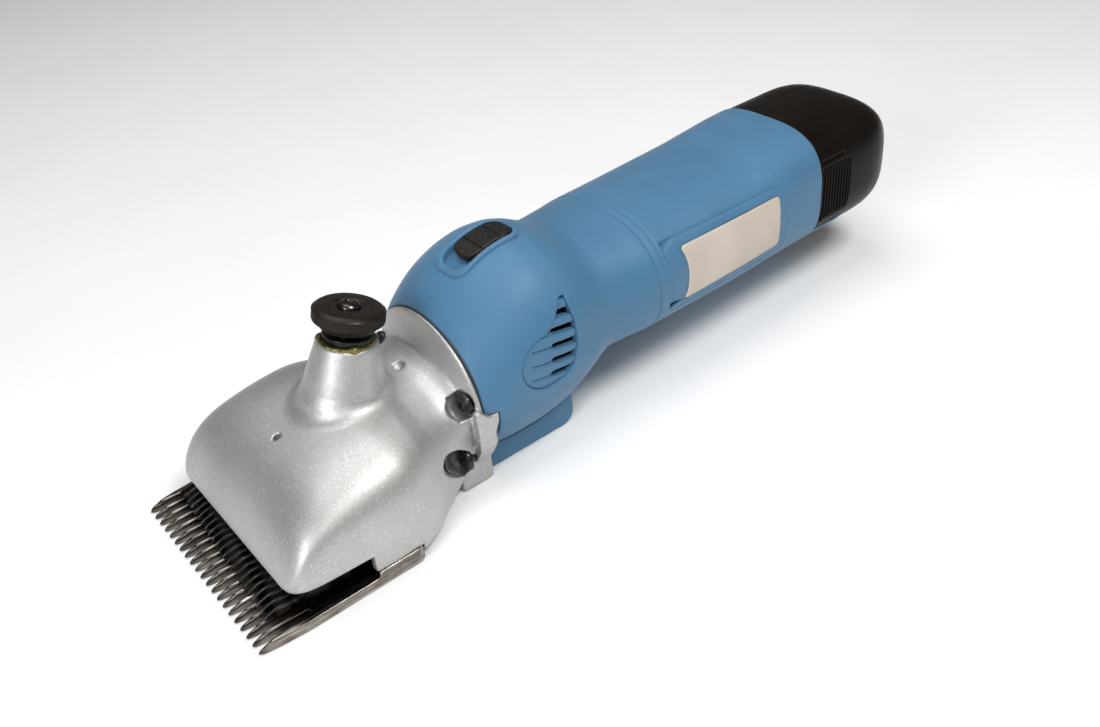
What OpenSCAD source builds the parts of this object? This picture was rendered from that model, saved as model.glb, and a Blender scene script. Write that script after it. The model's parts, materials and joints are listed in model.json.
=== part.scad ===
// Battery livestock clipper: comb and cutter, cast head with tension knob,
// motor housing with grip, and a slide-in battery pack.
// Every piece is drawn in the working frame (x = 0 at the comb tips, z = 0 on
// the comb's rubbing face, +x towards the battery) and set on the rest plane
// by place().

/* [Blades] */
// Number of comb teeth, the outer guards included
comb_teeth = 21; // [17:2:25]
// Distance between comb teeth
comb_pitch = 3.8; // [3.6:0.1:3.8]
// Number of cutter teeth
cutter_teeth = 23; // [19:2:23]
// Distance between cutter teeth
cutter_pitch = 3.05; // [2.8:0.05:3.05]
// Thickness of the comb plate
comb_t = 3.3; // [3.3:0.1:3.3]
// Height of the cutter above the comb
cutter_t = 5; // [4:0.1:5.2]
// Length of the comb
comb_len = 54; // [54:1:54]

/* [Head] */
// Wall thickness of the cast head
head_wall = 3; // [2.4:0.1:3.2]
// Tilt of the tension tower towards the grip, degrees
tower_tilt = 16.1; // [16:0.1:16.2]
// Radius of the knurled tension nut
knob_r = 10.8; // [9.8:0.1:11.2]
// Number of knurls on the tension nut
knurls = 60; // [36:1:72]

/* [Housing] */
// Wall thickness of the grip halves
grip_wall = 2.8; // [2.4:0.1:2.8]
// Depth of the groove ring around the grip
groove_d = 0.5; // [0.2:0.1:0.8]
// Travel of the switch slider along its arc, degrees
switch_travel = 7; // [5:0.5:7]

/* [Drive] */
// Number of teeth on the motor pinion
pinion_z = 10; // [10:1:10]
// Number of teeth on the drive gear
gear_z = 34; // [34:1:34]
// Gear module
gear_m = 0.75; // [0.75:0.05:0.75]
// Throw of the crank pin
crank_e = 1.7; // [1.2:0.1:1.7]
// Angle at which the fork is parked, degrees
park = -3.5; // [-3.5:0.5:0]

/* [Battery] */
// Radius of one cell
cell_r = 8.2; // [7.5:0.1:8.2]
// Length of one cell
cell_len = 67; // [60:1:67]

/* [Hidden] */
$fn = 64;
tool_len = 287;      // overall length
rest_h = comb_t;     // the comb's underside is the rest plane
eps = 0.01;

pivot_x = 53;        // fork pivot
crank_z = 17;        // crankshaft axis
motor_z = crank_z + gear_m*(pinion_z + gear_z)/2;   // motor axis
sw_x = 118; sw_z = 29.1; sw_r = 34.7;               // centre and radius of the switch track
cells_z = 35.9;      // centre of the battery pack's stem

// ---------- stations: [x, half width, top, waist, bottom, upper power, lower power]
HEAD = [
  [13.1, 31.6,  9.6,  8,   -3, 5.0, 8],
  [13.6, 33.6, 11.0,  8,   -3, 5.0, 8],
  [14.6, 35.4, 13.6,  8,   -3, 5.0, 8],
  [16.6, 37.0, 17.6,  8,   -3, 4.9, 8],
  [19.5, 37.9, 22.0,  8,   -3, 4.8, 8],
  [23.5, 38.4, 26.2,  8,   -3, 4.5, 8],
  [28.5, 38.7, 29.4,  8,   -3, 4.2, 8],
  [35,   39.0, 31.8,  8,   -3, 3.9, 8],
  [44,   39.3, 34.0,  8,   -3, 3.6, 8],
  [54,   38.9, 35.5,  8,   -3, 3.3, 8],
  [62,   36.0, 35.4,  9,   -3, 3.0, 7],
  [69,   31.4, 34.3, 12,   -3, 2.6, 6],
  [75,   28.2, 34.2, 15,   -3, 2.3, 5],
  [79,   26.7, 34.9, 17,   -3, 2.15, 4],
  [82,   26.0, 36.2, 19,   -3, 2.1, 3.4],
  [83.6, 25.9, 37.4, 20.5, -3, 2.1, 3.2],
  [84.6, 26.5, 41.0, 22,   -3, 2.0, 3.0],
  [85.8, 27.5, 46.6, 23.3, -3, 2.0, 2.8],
  [86.3, 27.8, 47.8, 23.8, -3, 2.0, 2.8],
  [87,   27.8, 48.0, 23.9, -3, 2.0, 2.8]];

BODY = [
  [87.6, 28.0, 48.3, 24.0, -0.6, 2.10, 2.10],
  [90,   29.0, 51.4, 25.0, -1.0, 2.10, 2.10],
  [94,   30.2, 54.9, 26.6, -1.4, 2.12, 2.12],
  [98,   31.0, 57.7, 28.0, -1.7, 2.15, 2.15],
  [104,  31.7, 60.9, 29.5, -1.8, 2.15, 2.15],
  [110,  32.0, 62.9, 30.6, -1.7, 2.15, 2.15],
  [116,  31.9, 63.8, 31.5, -1.1, 2.15, 2.15],
  [122,  31.4, 63.4, 32.2,  0.4, 2.15, 2.15],
  [128,  30.6, 61.6, 32.8,  3.2, 2.15, 2.15],
  [133,  29.6, 58.9, 33.2,  6.8, 2.18, 2.18],
  [137,  28.8, 56.9, 33.6, 10.2, 2.20, 2.20],
  [141,  28.5, 56.0, 34.2, 12.4, 2.25, 2.25],
  [150,  29.2, 56.0, 34.5, 12.8, 2.32, 2.32],
  [158,  29.9, 56.3, 34.6, 12.9, 2.40, 2.40],
  [170,  29.9, 56.5, 34.8, 13.0, 2.45, 2.45],
  [190,  29.6, 57.0, 35.2, 13.2, 2.60, 2.60],
  [207,  29.0, 57.6, 35.7, 13.6, 2.75, 2.75],
  [220,  28.4, 58.8, 36.4, 13.9, 2.85, 2.85],
  [232,  27.9, 59.9, 37.0, 14.1, 2.95, 2.95],
  [241,  27.7, 60.2, 37.2, 14.2, 3.00, 3.00],
  [262,  27.7, 60.2, 37.2, 14.2, 3.00, 3.00]];

// radial shrink of the pack's rounded end: [x, inset]
PACK_END = [[240, 0.4], [262, 0.4], [268, 0.6], [273, 1.3], [277, 2.5], [280.5, 4.3], [283.4, 6.7], [285.6, 9.6], [286.8, 12.6], [287, 14]];

// ---------- smooth table reading (shape-keeping cubic)
function seg(x, T, i = 0) = (i >= len(T) - 2 || x < T[i + 1][0]) ? i : seg(x, T, i + 1);
function dif(T, i, k) = (T[i + 1][k] - T[i][k])/(T[i + 1][0] - T[i][0]);
function slope(T, i, k) = i == 0 ? dif(T, 0, k) : i == len(T) - 1 ? dif(T, i - 1, k) :
  let (d0 = dif(T, i - 1, k), d1 = dif(T, i, k), h0 = T[i][0] - T[i - 1][0], h1 = T[i + 1][0] - T[i][0])
  d0*d1 <= 0 ? 0 : (3*h0 + 3*h1)/((2*h1 + h0)/d0 + (h1 + 2*h0)/d1);
function ct(x, T, k) = let (i = seg(x, T), h = T[i + 1][0] - T[i][0], t = min(1, max(0, (x - T[i][0])/h)),
  m0 = slope(T, i, k)*h, m1 = slope(T, i + 1, k)*h)
  (2*t*t*t - 3*t*t + 1)*T[i][k] + (t*t*t - 2*t*t + t)*m0 + (3*t*t - 2*t*t*t)*T[i + 1][k] + (t*t*t - t*t)*m1;

// closed section of N points at x, set in by off
function ring(x, T, N, off = 0, drop = 0) = let (a = ct(x, T, 1) - off, zt = ct(x, T, 2) - off, zm = ct(x, T, 3),
  zb = ct(x, T, 4) + off - drop, n = ct(x, T, 5), nb = ct(x, T, 6))
  [for (j = [0:N - 1]) let (t = 360*(j + 0.5)/N, c = cos(t), s = sin(t))
    [x, a*sign(c)*pow(abs(c), 2/(s >= 0 ? n : nb)),
     s >= 0 ? zm + (zt - zm)*pow(s, 2/n) : zm - (zm - zb)*pow(-s, 2/nb)]];

// skin over a list of rings with the same point count
module skin(R) {
  n = len(R[0]); m = len(R);
  polyhedron(points = [for (r = R) each r],
    faces = concat([[for (j = [0:n - 1]) j]],
      [for (i = [0:m - 2], j = [0:n - 1]) let (a = i*n + j, b = i*n + (j + 1)%n) each [[a, a + n, b], [b, a + n, b + n]]],
      [[for (j = [n - 1:-1:0]) (m - 1)*n + j]]), convexity = 6);
}
module loft(T, X, N, off = 0, drop = 0) skin([for (x = X) ring(x, T, N, off, drop)]);
function span(a, b, n) = [for (i = [0:n]) a + (b - a)*i/n];

// tube along a list of points
function unit(v) = v/norm(v);
module tube(P, r, k = 8) {
  m = len(P);
  T = [for (i = [0:m - 1]) unit(P[min(m - 1, i + 1)] - P[max(0, i - 1)])];
  skin([for (i = [0:m - 1]) let (t = T[i], u = unit(cross(t, abs(t.z) > 0.9 ? [1, 0, 0] : [0, 0, 1])), v = cross(t, u))
    [for (j = [0:k - 1]) P[i] - r*(cos(360*j/k)*u - sin(360*j/k)*v)]]);
}

// ---------- small helpers
module place() translate([-tool_len/2, 0, rest_h]) children();
module xcyl(r, x0, x1, y = 0, z = 0) translate([x0, y, z]) rotate([0, 90, 0]) cylinder(r = r, h = x1 - x0);
module xext(x0, x1) translate([x0, 0, 0]) rotate([90, 0, 90]) linear_extrude(x1 - x0) children();
module box(x0, x1, y0, y1, z0, z1) translate([x0, y0, z0]) cube([x1 - x0, y1 - y0, z1 - z0]);
module knob_axis() translate([64.7, 0, 60]) rotate([0, tower_tilt, 0]) children();
module parked() translate([pivot_x, 0, 0]) rotate([0, 0, park]) translate([-pivot_x, 0, 0]) children();
module arc(r0, r1, a0, a1, w) translate([sw_x, 0, sw_z]) rotate([90, 0, 0])
  rotate_extrude(angle = a1 - a0, start = a0, $fn = 120) translate([r0, -w/2]) square([r1 - r0, w]);
module rsq(hw, hh, r) { square([2*hw, 2*hh - 2*r], center = true); square([2*hw - 2*r, 2*hh], center = true);
  for (i = [-1, 1], j = [-1, 1]) translate([i*(hw - r), j*(hh - r)]) circle(r); }

// ================= blades =================
half_comb = (comb_teeth - 1)/2*comb_pitch;
module comb() color("silver") place() difference() {
  union() {
    translate([0, 0, -comb_t]) linear_extrude(comb_t) difference() {
      polygon([[1.2, -half_comb - 0.3], [0, -half_comb + 0.2], [0, half_comb - 0.2], [1.2, half_comb + 0.3],
        [15, half_comb + 1.7], [52, half_comb + 1.7], [comb_len, half_comb - 0.3],
        [comb_len, -half_comb + 0.3], [52, -half_comb - 1.7], [15, -half_comb - 1.7]]);
      for (i = [0:comb_teeth - 2]) translate([0, (i - (comb_teeth - 2)/2)*comb_pitch])
        polygon([[-1, -comb_pitch/2 + 0.25], [-1, comb_pitch/2 - 0.25], [0, comb_pitch/2 - 0.25], [3.5, 1.15], [17, 0.85], [18, 0], [17, -0.85], [3.5, -1.15], [0, -comb_pitch/2 + 0.25]]);
    }
    // thick heel under the head
    translate([0, 0, -eps]) linear_extrude(2 + eps)
      polygon([[38.4, -half_comb - 1.7], [52, -half_comb - 1.7], [comb_len, -half_comb + 0.3],
        [comb_len, half_comb - 0.3], [52, half_comb + 1.7], [38.4, half_comb + 1.7]]);
  }
  for (s = [-1, 1]) translate([46, s*20, -comb_t - 1]) { cylinder(r = 2.7, h = 9); cylinder(r = 4.9, h = 1 + 2.9); }
}
module comb_screws() color("dimgray") place() for (s = [-1, 1]) translate([46, s*20, -3.1]) difference() {
  union() { cylinder(r = 4.5, h = 2.6); translate([0, 0, 2.6 - eps]) cylinder(r = 2.4, h = 12); }
  translate([-3.2, -0.5, -1]) cube([6.4, 1, 2.1]);
}
module cutter() color("#2b2b2b") place() parked() difference() {
  union() {
    translate([0, 0, 0.02]) linear_extrude(2.6) difference() {
      translate([8, -(cutter_teeth - 1)/2*cutter_pitch - 0.8]) square([26.5, (cutter_teeth - 1)*cutter_pitch + 1.6]);
      for (i = [0:cutter_teeth - 2]) translate([0, (i - (cutter_teeth - 2)/2)*cutter_pitch])
        polygon([[7, -1.15], [7, 1.15], [8, 1.15], [20, 0.5], [20.6, 0], [20, -0.5], [8, -1.15]]);
    }
    translate([21.5, -32, 2.6]) cube([13, 64, cutter_t - 2.6]);
  }
  for (s = [-1, 1]) translate([27, s*13, 2.9]) cylinder(r = 2.3, h = 5);
}

// ================= head =================
module tower() knob_axis() rotate_extrude()
  polygon([[0, -36], [15.2, -36], [13.6, -26.5], [12.4, -23], [11.6, -19], [9.2, -9.6], [8.6, -8.8], [0, -8.8]]);
module head_casting() color("silver") place() difference() {
  union() {
    difference() {
      loft(HEAD, [13.1, 13.3, 13.6, 14.1, 14.6, 15.5, 16.6, 18, 19.5, 23.5, 28.5, 35, 44, 54, 58, 62, 66, 70, 75, 79, 82, 83.6, 84.6, 85.8, 86.3, 87], 56);
      // hollow inside the cover
      loft(HEAD, [16.8, 19.5, 23.5, 28.5, 35, 44, 54, 62, 69, 75, 79, 81.5], 40, head_wall, 3.5);
    }
    tower();
    // solid metal round the flange screws, and the floor behind the comb
    intersection() { loft(HEAD, [70, 75, 79, 82, 83.6, 84.6, 85.8, 86.3, 87], 56);
      union() { for (s = [-1, 1]) { xcyl(6.6, 71, 87, s*23, 28); xcyl(6.4, 74, 87, s*23.9, 8.8); } } }
    intersection() { loft(HEAD, [54.4, 58, 62, 66, 70, 75, 79, 82, 83.6], 56); box(54, 84, -40, 40, -3, 0.5); }
    // rear block and ears over the motor housing
    box(78, 89.6, -24.8, 24.8, -3, 8.6);
    for (s = [-1, 1]) {
      side_cut(s, 26.9, 29.7) polygon([[83.5, 27.6], [85.4, 27.4], [87.3, 24.9], [89, 24.1], [91.6, 24.0], [91.3, 21.0], [89.8, 17.8], [89.6, 13.5], [83.5, 13.5]]);
      translate([83.5, 0, 0]) rotate([90, 0, 90]) linear_extrude(6.1) polygon([[s*26.9, 14.5], [s*29.7, 15.5], [s*29.3, 12.6], [s*26.9, 8.4], [s*24.7, 5.5], [s*23.8, 8.55]]);
    }
    // wall that carries the crank bearing
    intersection() { box(81.4, 87, -40, 40, -3, 60); loft(HEAD, [81, 83.6, 84.6, 87], 40, 1.4); }
    // screw bosses, cross bar and floor
    for (s = [-1, 1]) translate([46, s*20, 2]) cylinder(r = 5.5, h = 13);
    box(49, 58, -36.9, 36.9, 2.05, 6.5);
  }
  // room below the lip and for the comb's heel
  box(0, 38.2, -45, 45, -10, 8);
  box(38.1, comb_len + 0.2, -45, 45, -10, 2.02);
  box(36, 39, -33, 33, -10, 12);
  // tension bore, oil ports, screw holes
  knob_axis() { translate([0, 0, -40]) cylinder(r = 6.2, h = 34); }
  translate([34, 0, 22]) cylinder(r = 1.25, h = 14);
  translate([76.2, 0, 33.3]) sphere(r = 1.7, $fn = 24);
  for (s = [-1, 1]) translate([46, s*20, 1]) cylinder(r = 2.45, h = 12);
  for (s = [-1, 1]) { xcyl(1.95, 80, 92, s*23, 28); xcyl(4.5, 80.2, 84.62, s*23, 28);
    xcyl(1.95, 78, 87.5, s*23.9, 8.8); xcyl(4.5, 77.6, 81.22, s*23.9, 8.8); }
  // crank bearing seat and fork post hole
  xcyl(11.03, 83, 90, 0, crank_z);
  xcyl(9, 80, 84, 0, crank_z);
  box(82.5, 95, -19, 19, -2.4, 3.5);
  translate([pivot_x, 0, 1]) cylinder(r = 3.02, h = 8);
  translate([pivot_x, 0, 1]) cylinder(r = 4.02, h = 2.7);
}
module fork_post() color("gray") place() translate([pivot_x, 0, 2.1]) { cylinder(r = 4, h = 1.5); cylinder(r = 3, h = 15); }
module flange_screws() color("#1c1c1c") place() for (s = [-1, 1]) {
  screw_x(84.6, s*23, 28, 17); screw_x(81.2, s*23.9, 8.8, 5.6); }
module screw_x(x, y, z, l) translate([x, y, z]) rotate([0, 90, 0]) difference() {
  union() { translate([0, 0, -2.5]) rotate_extrude() polygon([[0, 0], [2.2, 0.05], [3.4, 0.7], [3.9, 1.7], [3.9, 2.5], [0, 2.5]]);
    translate([0, 0, -eps]) cylinder(r = 1.9, h = l); }
  translate([-2.1, -0.4, -3]) cube([4.2, 0.8, 1.7]);
  translate([-0.4, -2.1, -3]) cube([0.8, 4.2, 1.7]);
}
module flange_gasket() color("#151515") place() difference() {
  translate([0.02, 0, 0]) loft(BODY, [87, 87.55], 64, 0.4);
  translate([0.02, 0, 0]) loft(BODY, [86, 89], 48, 6.5);
  box(86, 89, -24.9, 24.9, -5, 8.7);
  for (s = [-1, 1]) { xcyl(2.2, 86, 89, s*23, 28); box(86, 89, s*28.4 - 1.7, s*28.4 + 1.7, 13.3, 25.4); }
}

// ================= tension gear =================
module tension_sleeve() color("dimgray") place() knob_axis() difference() {
  union() { translate([0, 0, -22]) cylinder(r = 6.12, h = 11.8); translate([0, 0, -10.3]) cylinder(r = 3.4, h = 11.9);
    translate([0, 0, 1.59]) rotate_extrude() polygon([[0, 0], [3.4, 0], [2.7, 1.1], [1.6, 1.5], [0, 1.6]]); }
  translate([0, 0, -23]) cylinder(r = 4.9, h = 12);
}
module tension_pin() color("gray") place() knob_axis() union() {
  translate([0, 0, -39.6]) cylinder(r = 3, h = 14.6);
  translate([0, 0, -39.6]) sphere(r = 3);
  translate([0, 0, -25.1]) cylinder(r = 6.12, h = 1.6);
  translate([0, 0, -24]) cylinder(r = 1.8, h = 10);
}
module tension_spring() color("lightgray") place() knob_axis()
  tube([for (i = [0:40]) let (t = i*36) [3.4*cos(t), 3.4*sin(t), -22.7 + 9.1*i/40]], 0.7, 8);
module tension_washer() color("#202020") place() knob_axis() difference() {
  translate([0, 0, -8.78]) cylinder(r = 7.4, h = 2.3); translate([0, 0, -9]) cylinder(r = 3.48, h = 5); }
module tension_nut() color("#1a1a1a") place() knob_axis() difference() {
  rotate_extrude() polygon([[3.46, -5.3], [6.2, -5.3], [6.2, -4.5], [8.4, -4.5], [9.0, -3.6], [knob_r - 0.5, -2.5], [knob_r, -1.8], [knob_r, 0.4],
    [knob_r - 0.6, 1.2], [knob_r - 1.6, 1.9], [4.4, 2.1], [3.46, 1.7]]);
  for (i = [0:knurls - 1]) rotate([0, 0, 360*i/knurls]) translate([knob_r + 0.12, 0, -5]) rotate([0, 0, 45]) cube([0.5, 0.5, 12], center = true);
}

// ================= fork and crank =================
module fork_plan() {
  circle(8);
  for (s = [-1, 1]) { polygon([[-2, s*2], [-2, s*8], [-23, s*16], [-29, s*16], [-29, s*10], [-22, s*9]]);
    polygon([[2, s*8], [2, 0], [14, 0], [14, s*6.6], [26.5, s*6.6], [26.5, s*9.6], [10, s*9.6]]); }
}
module drive_fork() color("#8a8d90") place() parked() translate([pivot_x, 0, 0]) difference() {
  union() { translate([0, 0, 11.5]) linear_extrude(8) fork_plan();
    for (s = [-1, 1]) translate([-26, s*13, 8]) cylinder(r = 3, h = 4); }
  translate([0, 0, 10]) cylinder(r = 3.05, h = 7.6);
  translate([0.5, 0, 22.1]) sphere(r = 3.6);
  for (s = [-1, 1]) translate([-26, s*13, 7]) cylinder(r = 1.52, h = 8);
}
module fork_fingers() color("#b0b0b0") place() parked() for (s = [-1, 1]) translate([27, s*13, 0]) {
  translate([0, 0, 3.1]) cylinder(r = 2.2, h = 4.85); translate([0, 0, 7.9]) cylinder(r = 1.5, h = 6); }
module crankshaft() color("gray") place() union() {
  xcyl(1.8, 71.6, 80.2, -crank_e, crank_z);
  xcyl(7, 80, 82, 0, crank_z); xcyl(5, 81.9, 96, 0, crank_z); xcyl(4, 95.9, 102.5, 0, crank_z);
}
module crank_roller() color("lightgray") place() translate([0, -crank_e, crank_z]) difference() {
  xcyl(3, 72.2, 79.6); xcyl(1.84, 70, 81); }
module crank_bearing_front() color("silver") place() bearing(83.02, 89, crank_z, 5.05, 11);
module crank_bearing_rear() color("silver") place() bearing(97.2, 102, crank_z, 4.05, 8);
module bearing(x0, x1, z, ri, ro) difference() {
  xcyl(ro, x0, x1, 0, z); xcyl(ri, x0 - 1, x1 + 1, 0, z);
  translate([x0 - 0.01, 0, z]) rotate([0, 90, 0]) difference() { cylinder(r = ro*0.82, h = 0.5); translate([0, 0, -1]) cylinder(r = ri + (ro - ri)*0.3, h = 3); }
}
// involute spur gear
function invo(a) = tan(a)*180/PI - a;
function flank(r, z, m) = let (rb = z*m/2*cos(20)) 90/z*0.9 + invo(20) - (r > rb ? invo(acos(rb/r)) : 0);
module gear2d(z, m, ph) {
  ro = z*m/2 + 0.82*m; rr = z*m/2 - 1.25*m; rs = [for (i = [0:4]) max(rr + 0.01, z*m/2*cos(20)) + (ro - max(rr + 0.01, z*m/2*cos(20)))*i/4];
  polygon([for (k = [0:z - 1]) let (c = ph + 360*k/z) each concat(
    [let (a = c - flank(rs[0], z, m)) rr*[cos(a), sin(a)]],
    [for (i = [0:4]) let (a = c - flank(rs[i], z, m)) rs[i]*[cos(a), sin(a)]],
    [for (i = [4:-1:0]) let (a = c + flank(rs[i], z, m)) rs[i]*[cos(a), sin(a)]],
    [let (a = c + flank(rs[0], z, m)) rr*[cos(a), sin(a)]])]);
}
module drive_gear() color("#d8d2b8") place() translate([0, 0, crank_z]) difference() {
  union() { xext(90, 95) gear2d(gear_z, gear_m, 90); xcyl(7.5, 89.3, 95.8); }
  xcyl(5.02, 80, 100);
  for (a = [0:60:300]) rotate([a, 0, 0]) xcyl(1.6, 80, 100, 9.6, 0);
}
module pinion() color("#c9a24a") place() translate([0, 0, motor_z]) difference() {
  xext(89.2, 96.4) gear2d(pinion_z, gear_m, -90 + 180/pinion_z); xcyl(1.62, 80, 99); }
module gearbox_plate() color("#5a5d60") place() difference() {
  xcyl(17.7, 98, 102, 0, 24);
  xcyl(8.03, 96, 104, 0, crank_z); xcyl(6, 96, 104, 0, motor_z);
  for (s = [-1, 1]) xcyl(1.45, 96, 104, s*13, 26);
}
module gearbox_screws() color("#303030") place() for (s = [-1, 1]) { xcyl(1.4, 96.02, 102.6, s*13, 26); difference() { xcyl(2.6, 95.9, 97.98, s*13, 26); box(95, 96.6, s*13 - 2, s*13 + 2, 25.7, 26.3); } }

// ================= motor =================
module rotor_shaft() color("silver") place() xcyl(1.6, 88.4, 166, 0, motor_z);
module fan() color("#303438") place() translate([0, 0, motor_z]) difference() {
  union() { xcyl(4.5, 103.4, 108.6); xcyl(15.4, 107.4, 108.6);
    for (a = [0:30:330]) rotate([a, 0, 0]) box(103.6, 108, -0.5, 0.5, 3.5, 15); }
  xcyl(1.62, 100, 110);
}
module rotor_core() color("#7b5b3a") place() translate([0, 0, motor_z]) difference() {
  xcyl(12, 120, 147); xcyl(1.62, 118, 150);
  for (a = [0:36:324]) rotate([a, 0, 0]) box(119, 148, -0.6, 0.6, 7.5, 14);
}
module commutator() color("#b87333") place() translate([0, 0, motor_z]) difference() {
  xcyl(5, 149, 157.4); xcyl(1.62, 148, 158); for (a = [0:36:324]) rotate([a, 0, 0]) box(148, 158, -0.2, 0.2, 4.4, 6); }
module motor_can() color("#9aa0a4") place() translate([0, 0, motor_z]) difference() {
  xcyl(17, 110, 158); xcyl(15.8, 112, 159); xcyl(5.03, 109, 113);
  for (a = [0:60:300]) rotate([a, 0, 0]) xcyl(2, 109, 113, 0, 11);
}
module motor_magnets() color("#33363a") place() translate([112.5, 0, motor_z]) rotate([0, 90, 0]) for (a = [-60, 120])
  translate([0, 0, 5]) rotate([0, 0, a]) rotate_extrude(angle = 120) translate([12.5, 0]) square([3.2, 33]);
module motor_bearing_front() color("silver") place() difference() { xcyl(5, 109.2, 113, 0, motor_z); xcyl(1.66, 108, 114, 0, motor_z); }
module motor_bearing_rear() color("silver") place() difference() { xcyl(4.5, 159.5, 163, 0, motor_z); xcyl(1.66, 158, 165, 0, motor_z); }
module motor_end_cap() color("#202225") place() translate([0, 0, motor_z]) difference() {
  union() { xcyl(17, 158.02, 164); for (s = [-1, 1]) translate([0, s*11.6, 0]) box(150, 158.5, -3.8, 3.8, -3.6, 3.6); }
  xcyl(4.53, 159.4, 165); xcyl(2.4, 157, 160);
  for (s = [-1, 1]) translate([0, s*9.8, 0]) box(150.9, 156.1, -4.7, 4.7, -2.1, 2.1);
}
module brushes() color("#3a3a3c") place() for (s = [-1, 1]) translate([0, s*8.7, motor_z]) box(151, 156, -3.45, 3.45, -2, 2);

// ================= housing =================
BX = concat([87.6, 90, 93, 96.5], span(100, 140, 11), [145.5, 152, 157.7, 158.4, 159.2, 159.9, 180, 205, 223, 240.2]);
function groove(x) = abs(x - 158.8) < 0.5 ? groove_d : 0;
module body_outer() skin([for (x = BX) ring(x, BODY, 52, groove(x))]);
module body_inner(x0, x1, n) loft(BODY, span(x0, x1, n), 32, grip_wall + 0.4);
module teardrop(o) polygon([for (i = [0:15]) let (t = -90 - 180*i/15) [111.5 + (11.3 + o)*cos(t)*0.95, 33.5 + (9 + o)*sin(t)], [120, 50.5 + o], [122 + o, 50 + o], [122.6 + o, 34], [120, 25 - o]]);
module label2d(o = 0) translate([170, 27]) polygon([[0 - o, 0.5 - o], [47.5 + o, 0.5 - o], [47.5 + o, 19.5 + o], [0 - o, 19.5 + o]]);
module side_cut(s, y0, y1) translate([0, s > 0 ? y1 : -y0, 0]) rotate([90, 0, 0]) linear_extrude(y1 - y0) children();
module housing_whole() difference() {
  union() {
    difference() {
      union() { body_outer(); arc(sw_r - 3, sw_r + 0.9, 81.5, 125, 15); }
      body_inner(86, 98, 5); body_inner(102, 112, 3); body_inner(115, 150, 7); body_inner(153, 242, 6);
    }
    // tongue under the pack
    difference() {
      intersection() { loft(BODY, [240.1, 256], 48); box(239.9, 257, -26, 26, 10, 22); }
      loft(BODY, [239.5, 258], 32, grip_wall + 0.4);
    }
    // screw bosses
    intersection() { loft(BODY, span(87.6, 99, 3), 32, 1); union() for (s = [-1, 1]) xcyl(4.6, 87.6, 99, s*23, 28); }
  }
  // front relief for the head's rear block and ears
  box(80, 89.65, -24.9, 24.9, -5, 8.7);
  for (s = [-1, 1]) { box(80, 91.9, s*29.2 - 2.4, s*29.2 + 2.4, 13.4, 24.2);
    xcyl(1.95, 86, 104, s*23, 28); }
  // seats of gearbox plate and motor
  xcyl(17.75, 97.9, 102.1, 0, 24); xcyl(17.05, 111.9, 115.1, 0, motor_z); xcyl(17.05, 149.9, 153.1, 0, motor_z);
  // switch track and stem slot
  arc(sw_r - 1.9, sw_r + 4, 82.7, 121.5, 11.8);
  arc(sw_r - 7, sw_r, 92, 108, 5);
  arc(sw_r - 14.4, sw_r - 5.1, 86.5, 113.5, 13.8);
  // vent openings
  for (s = [-1, 1]) side_cut(s, 22, 40) teardrop(0);
  // label recess and the two panel notches
  for (s = [-1, 1]) { box(163, 166.4, s*32 - 4.4, s*32 + 4.4, 47.6, 49.4); box(163, 166.4, s*32 - 4.4, s*32 + 4.4, 29.2, 31); }
  difference() { side_cut(-1, 20, 40) label2d(0.3); loft(BODY, span(168, 220, 5), 56, 0.35); }
}
module housing_left() color("#5f9cc9") place() intersection() { housing_whole(); box(80, 260, 0.01, 40, -10, 80); }
module housing_right() color("#5f9cc9") place() intersection() { housing_whole(); box(80, 260, -40, -0.01, -10, 80); }
module rest_foot() color("#5f9cc9") place() difference() {
  union() { box(89.8, 121, -21.3, 21.3, -3.3, 8); box(89.8, 125.8, -21.3, 21.3, 1.5, 8); for (s = [0:1]) translate([121, 0, 1.5]) rotate([90, 0, 0]) cylinder(r = 4.8, h = 42.6, center = true); }
  loft(BODY, concat([87.6, 90, 93, 96.5], span(100, 140, 12)), 56, -0.03);
}
module vent_grille(s) intersection() {
  difference() { loft(BODY, span(96, 126, 9), 48, 0.5); loft(BODY, span(95, 127, 5), 36, 2.6); }
  side_cut(s, 20, 40) difference() { teardrop(-0.15);
    for (i = [0:4]) translate([i == 4 ? 116 : 105 + i*0.6, 27.2 + i*4.8]) square([i == 4 ? 5 : 16 - i*0.3, 1.7]); }
}
module vent_grille_left() color("#4f8cb9") place() vent_grille(1);
module vent_grille_right() color("#4f8cb9") place() vent_grille(-1);
module side_label() color("#e8e4dc") place() intersection() {
  difference() { loft(BODY, span(168, 220, 5), 56, 0.02); loft(BODY, span(168, 220, 5), 56, 0.34); }
  side_cut(-1, 20, 40) label2d();
}

// ================= switch and electrics =================
module switch_slider() color("#1d1b1a") place() union() {
  arc(sw_r - 1.5, sw_r + 1.1, 83.6, 113.5, 11);
  arc(sw_r - 5.2, sw_r - 1.4, 93.6, 99.4, 4);
  for (a = [86.5, 98.5, 110.5], w = [-2, 0, 2]) translate([sw_x + (sw_r + 1)*cos(a), w, sw_z + (sw_r + 1)*sin(a)]) sphere(r = 0.5, $fn = 16);
}
module switch_body() color("#26282b") place() difference() {
  arc(sw_r - 12.3, sw_r - 5.5, 88, 104, 13); arc(sw_r - 8, sw_r - 5, 91, 109, 5); }
module control_board() color("#2e6b3f") place() union() {
  box(170, 188, -24, 24, 34, 35.6);
  box(173, 180, -16, -6, 35.59, 41); xboxes(); }
module xboxes() { box(182, 186, 2, 12, 35.59, 39); for (y = [-12, 16]) translate([184, y, 35.59]) cylinder(r = 3, h = 8); }
function bez(p, q, r, s, n = 8) = [for (i = [0:n]) let (t = i/n, u = 1 - t) u*u*u*p + 3*u*u*t*q + 3*u*t*t*r + t*t*t*s];
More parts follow.
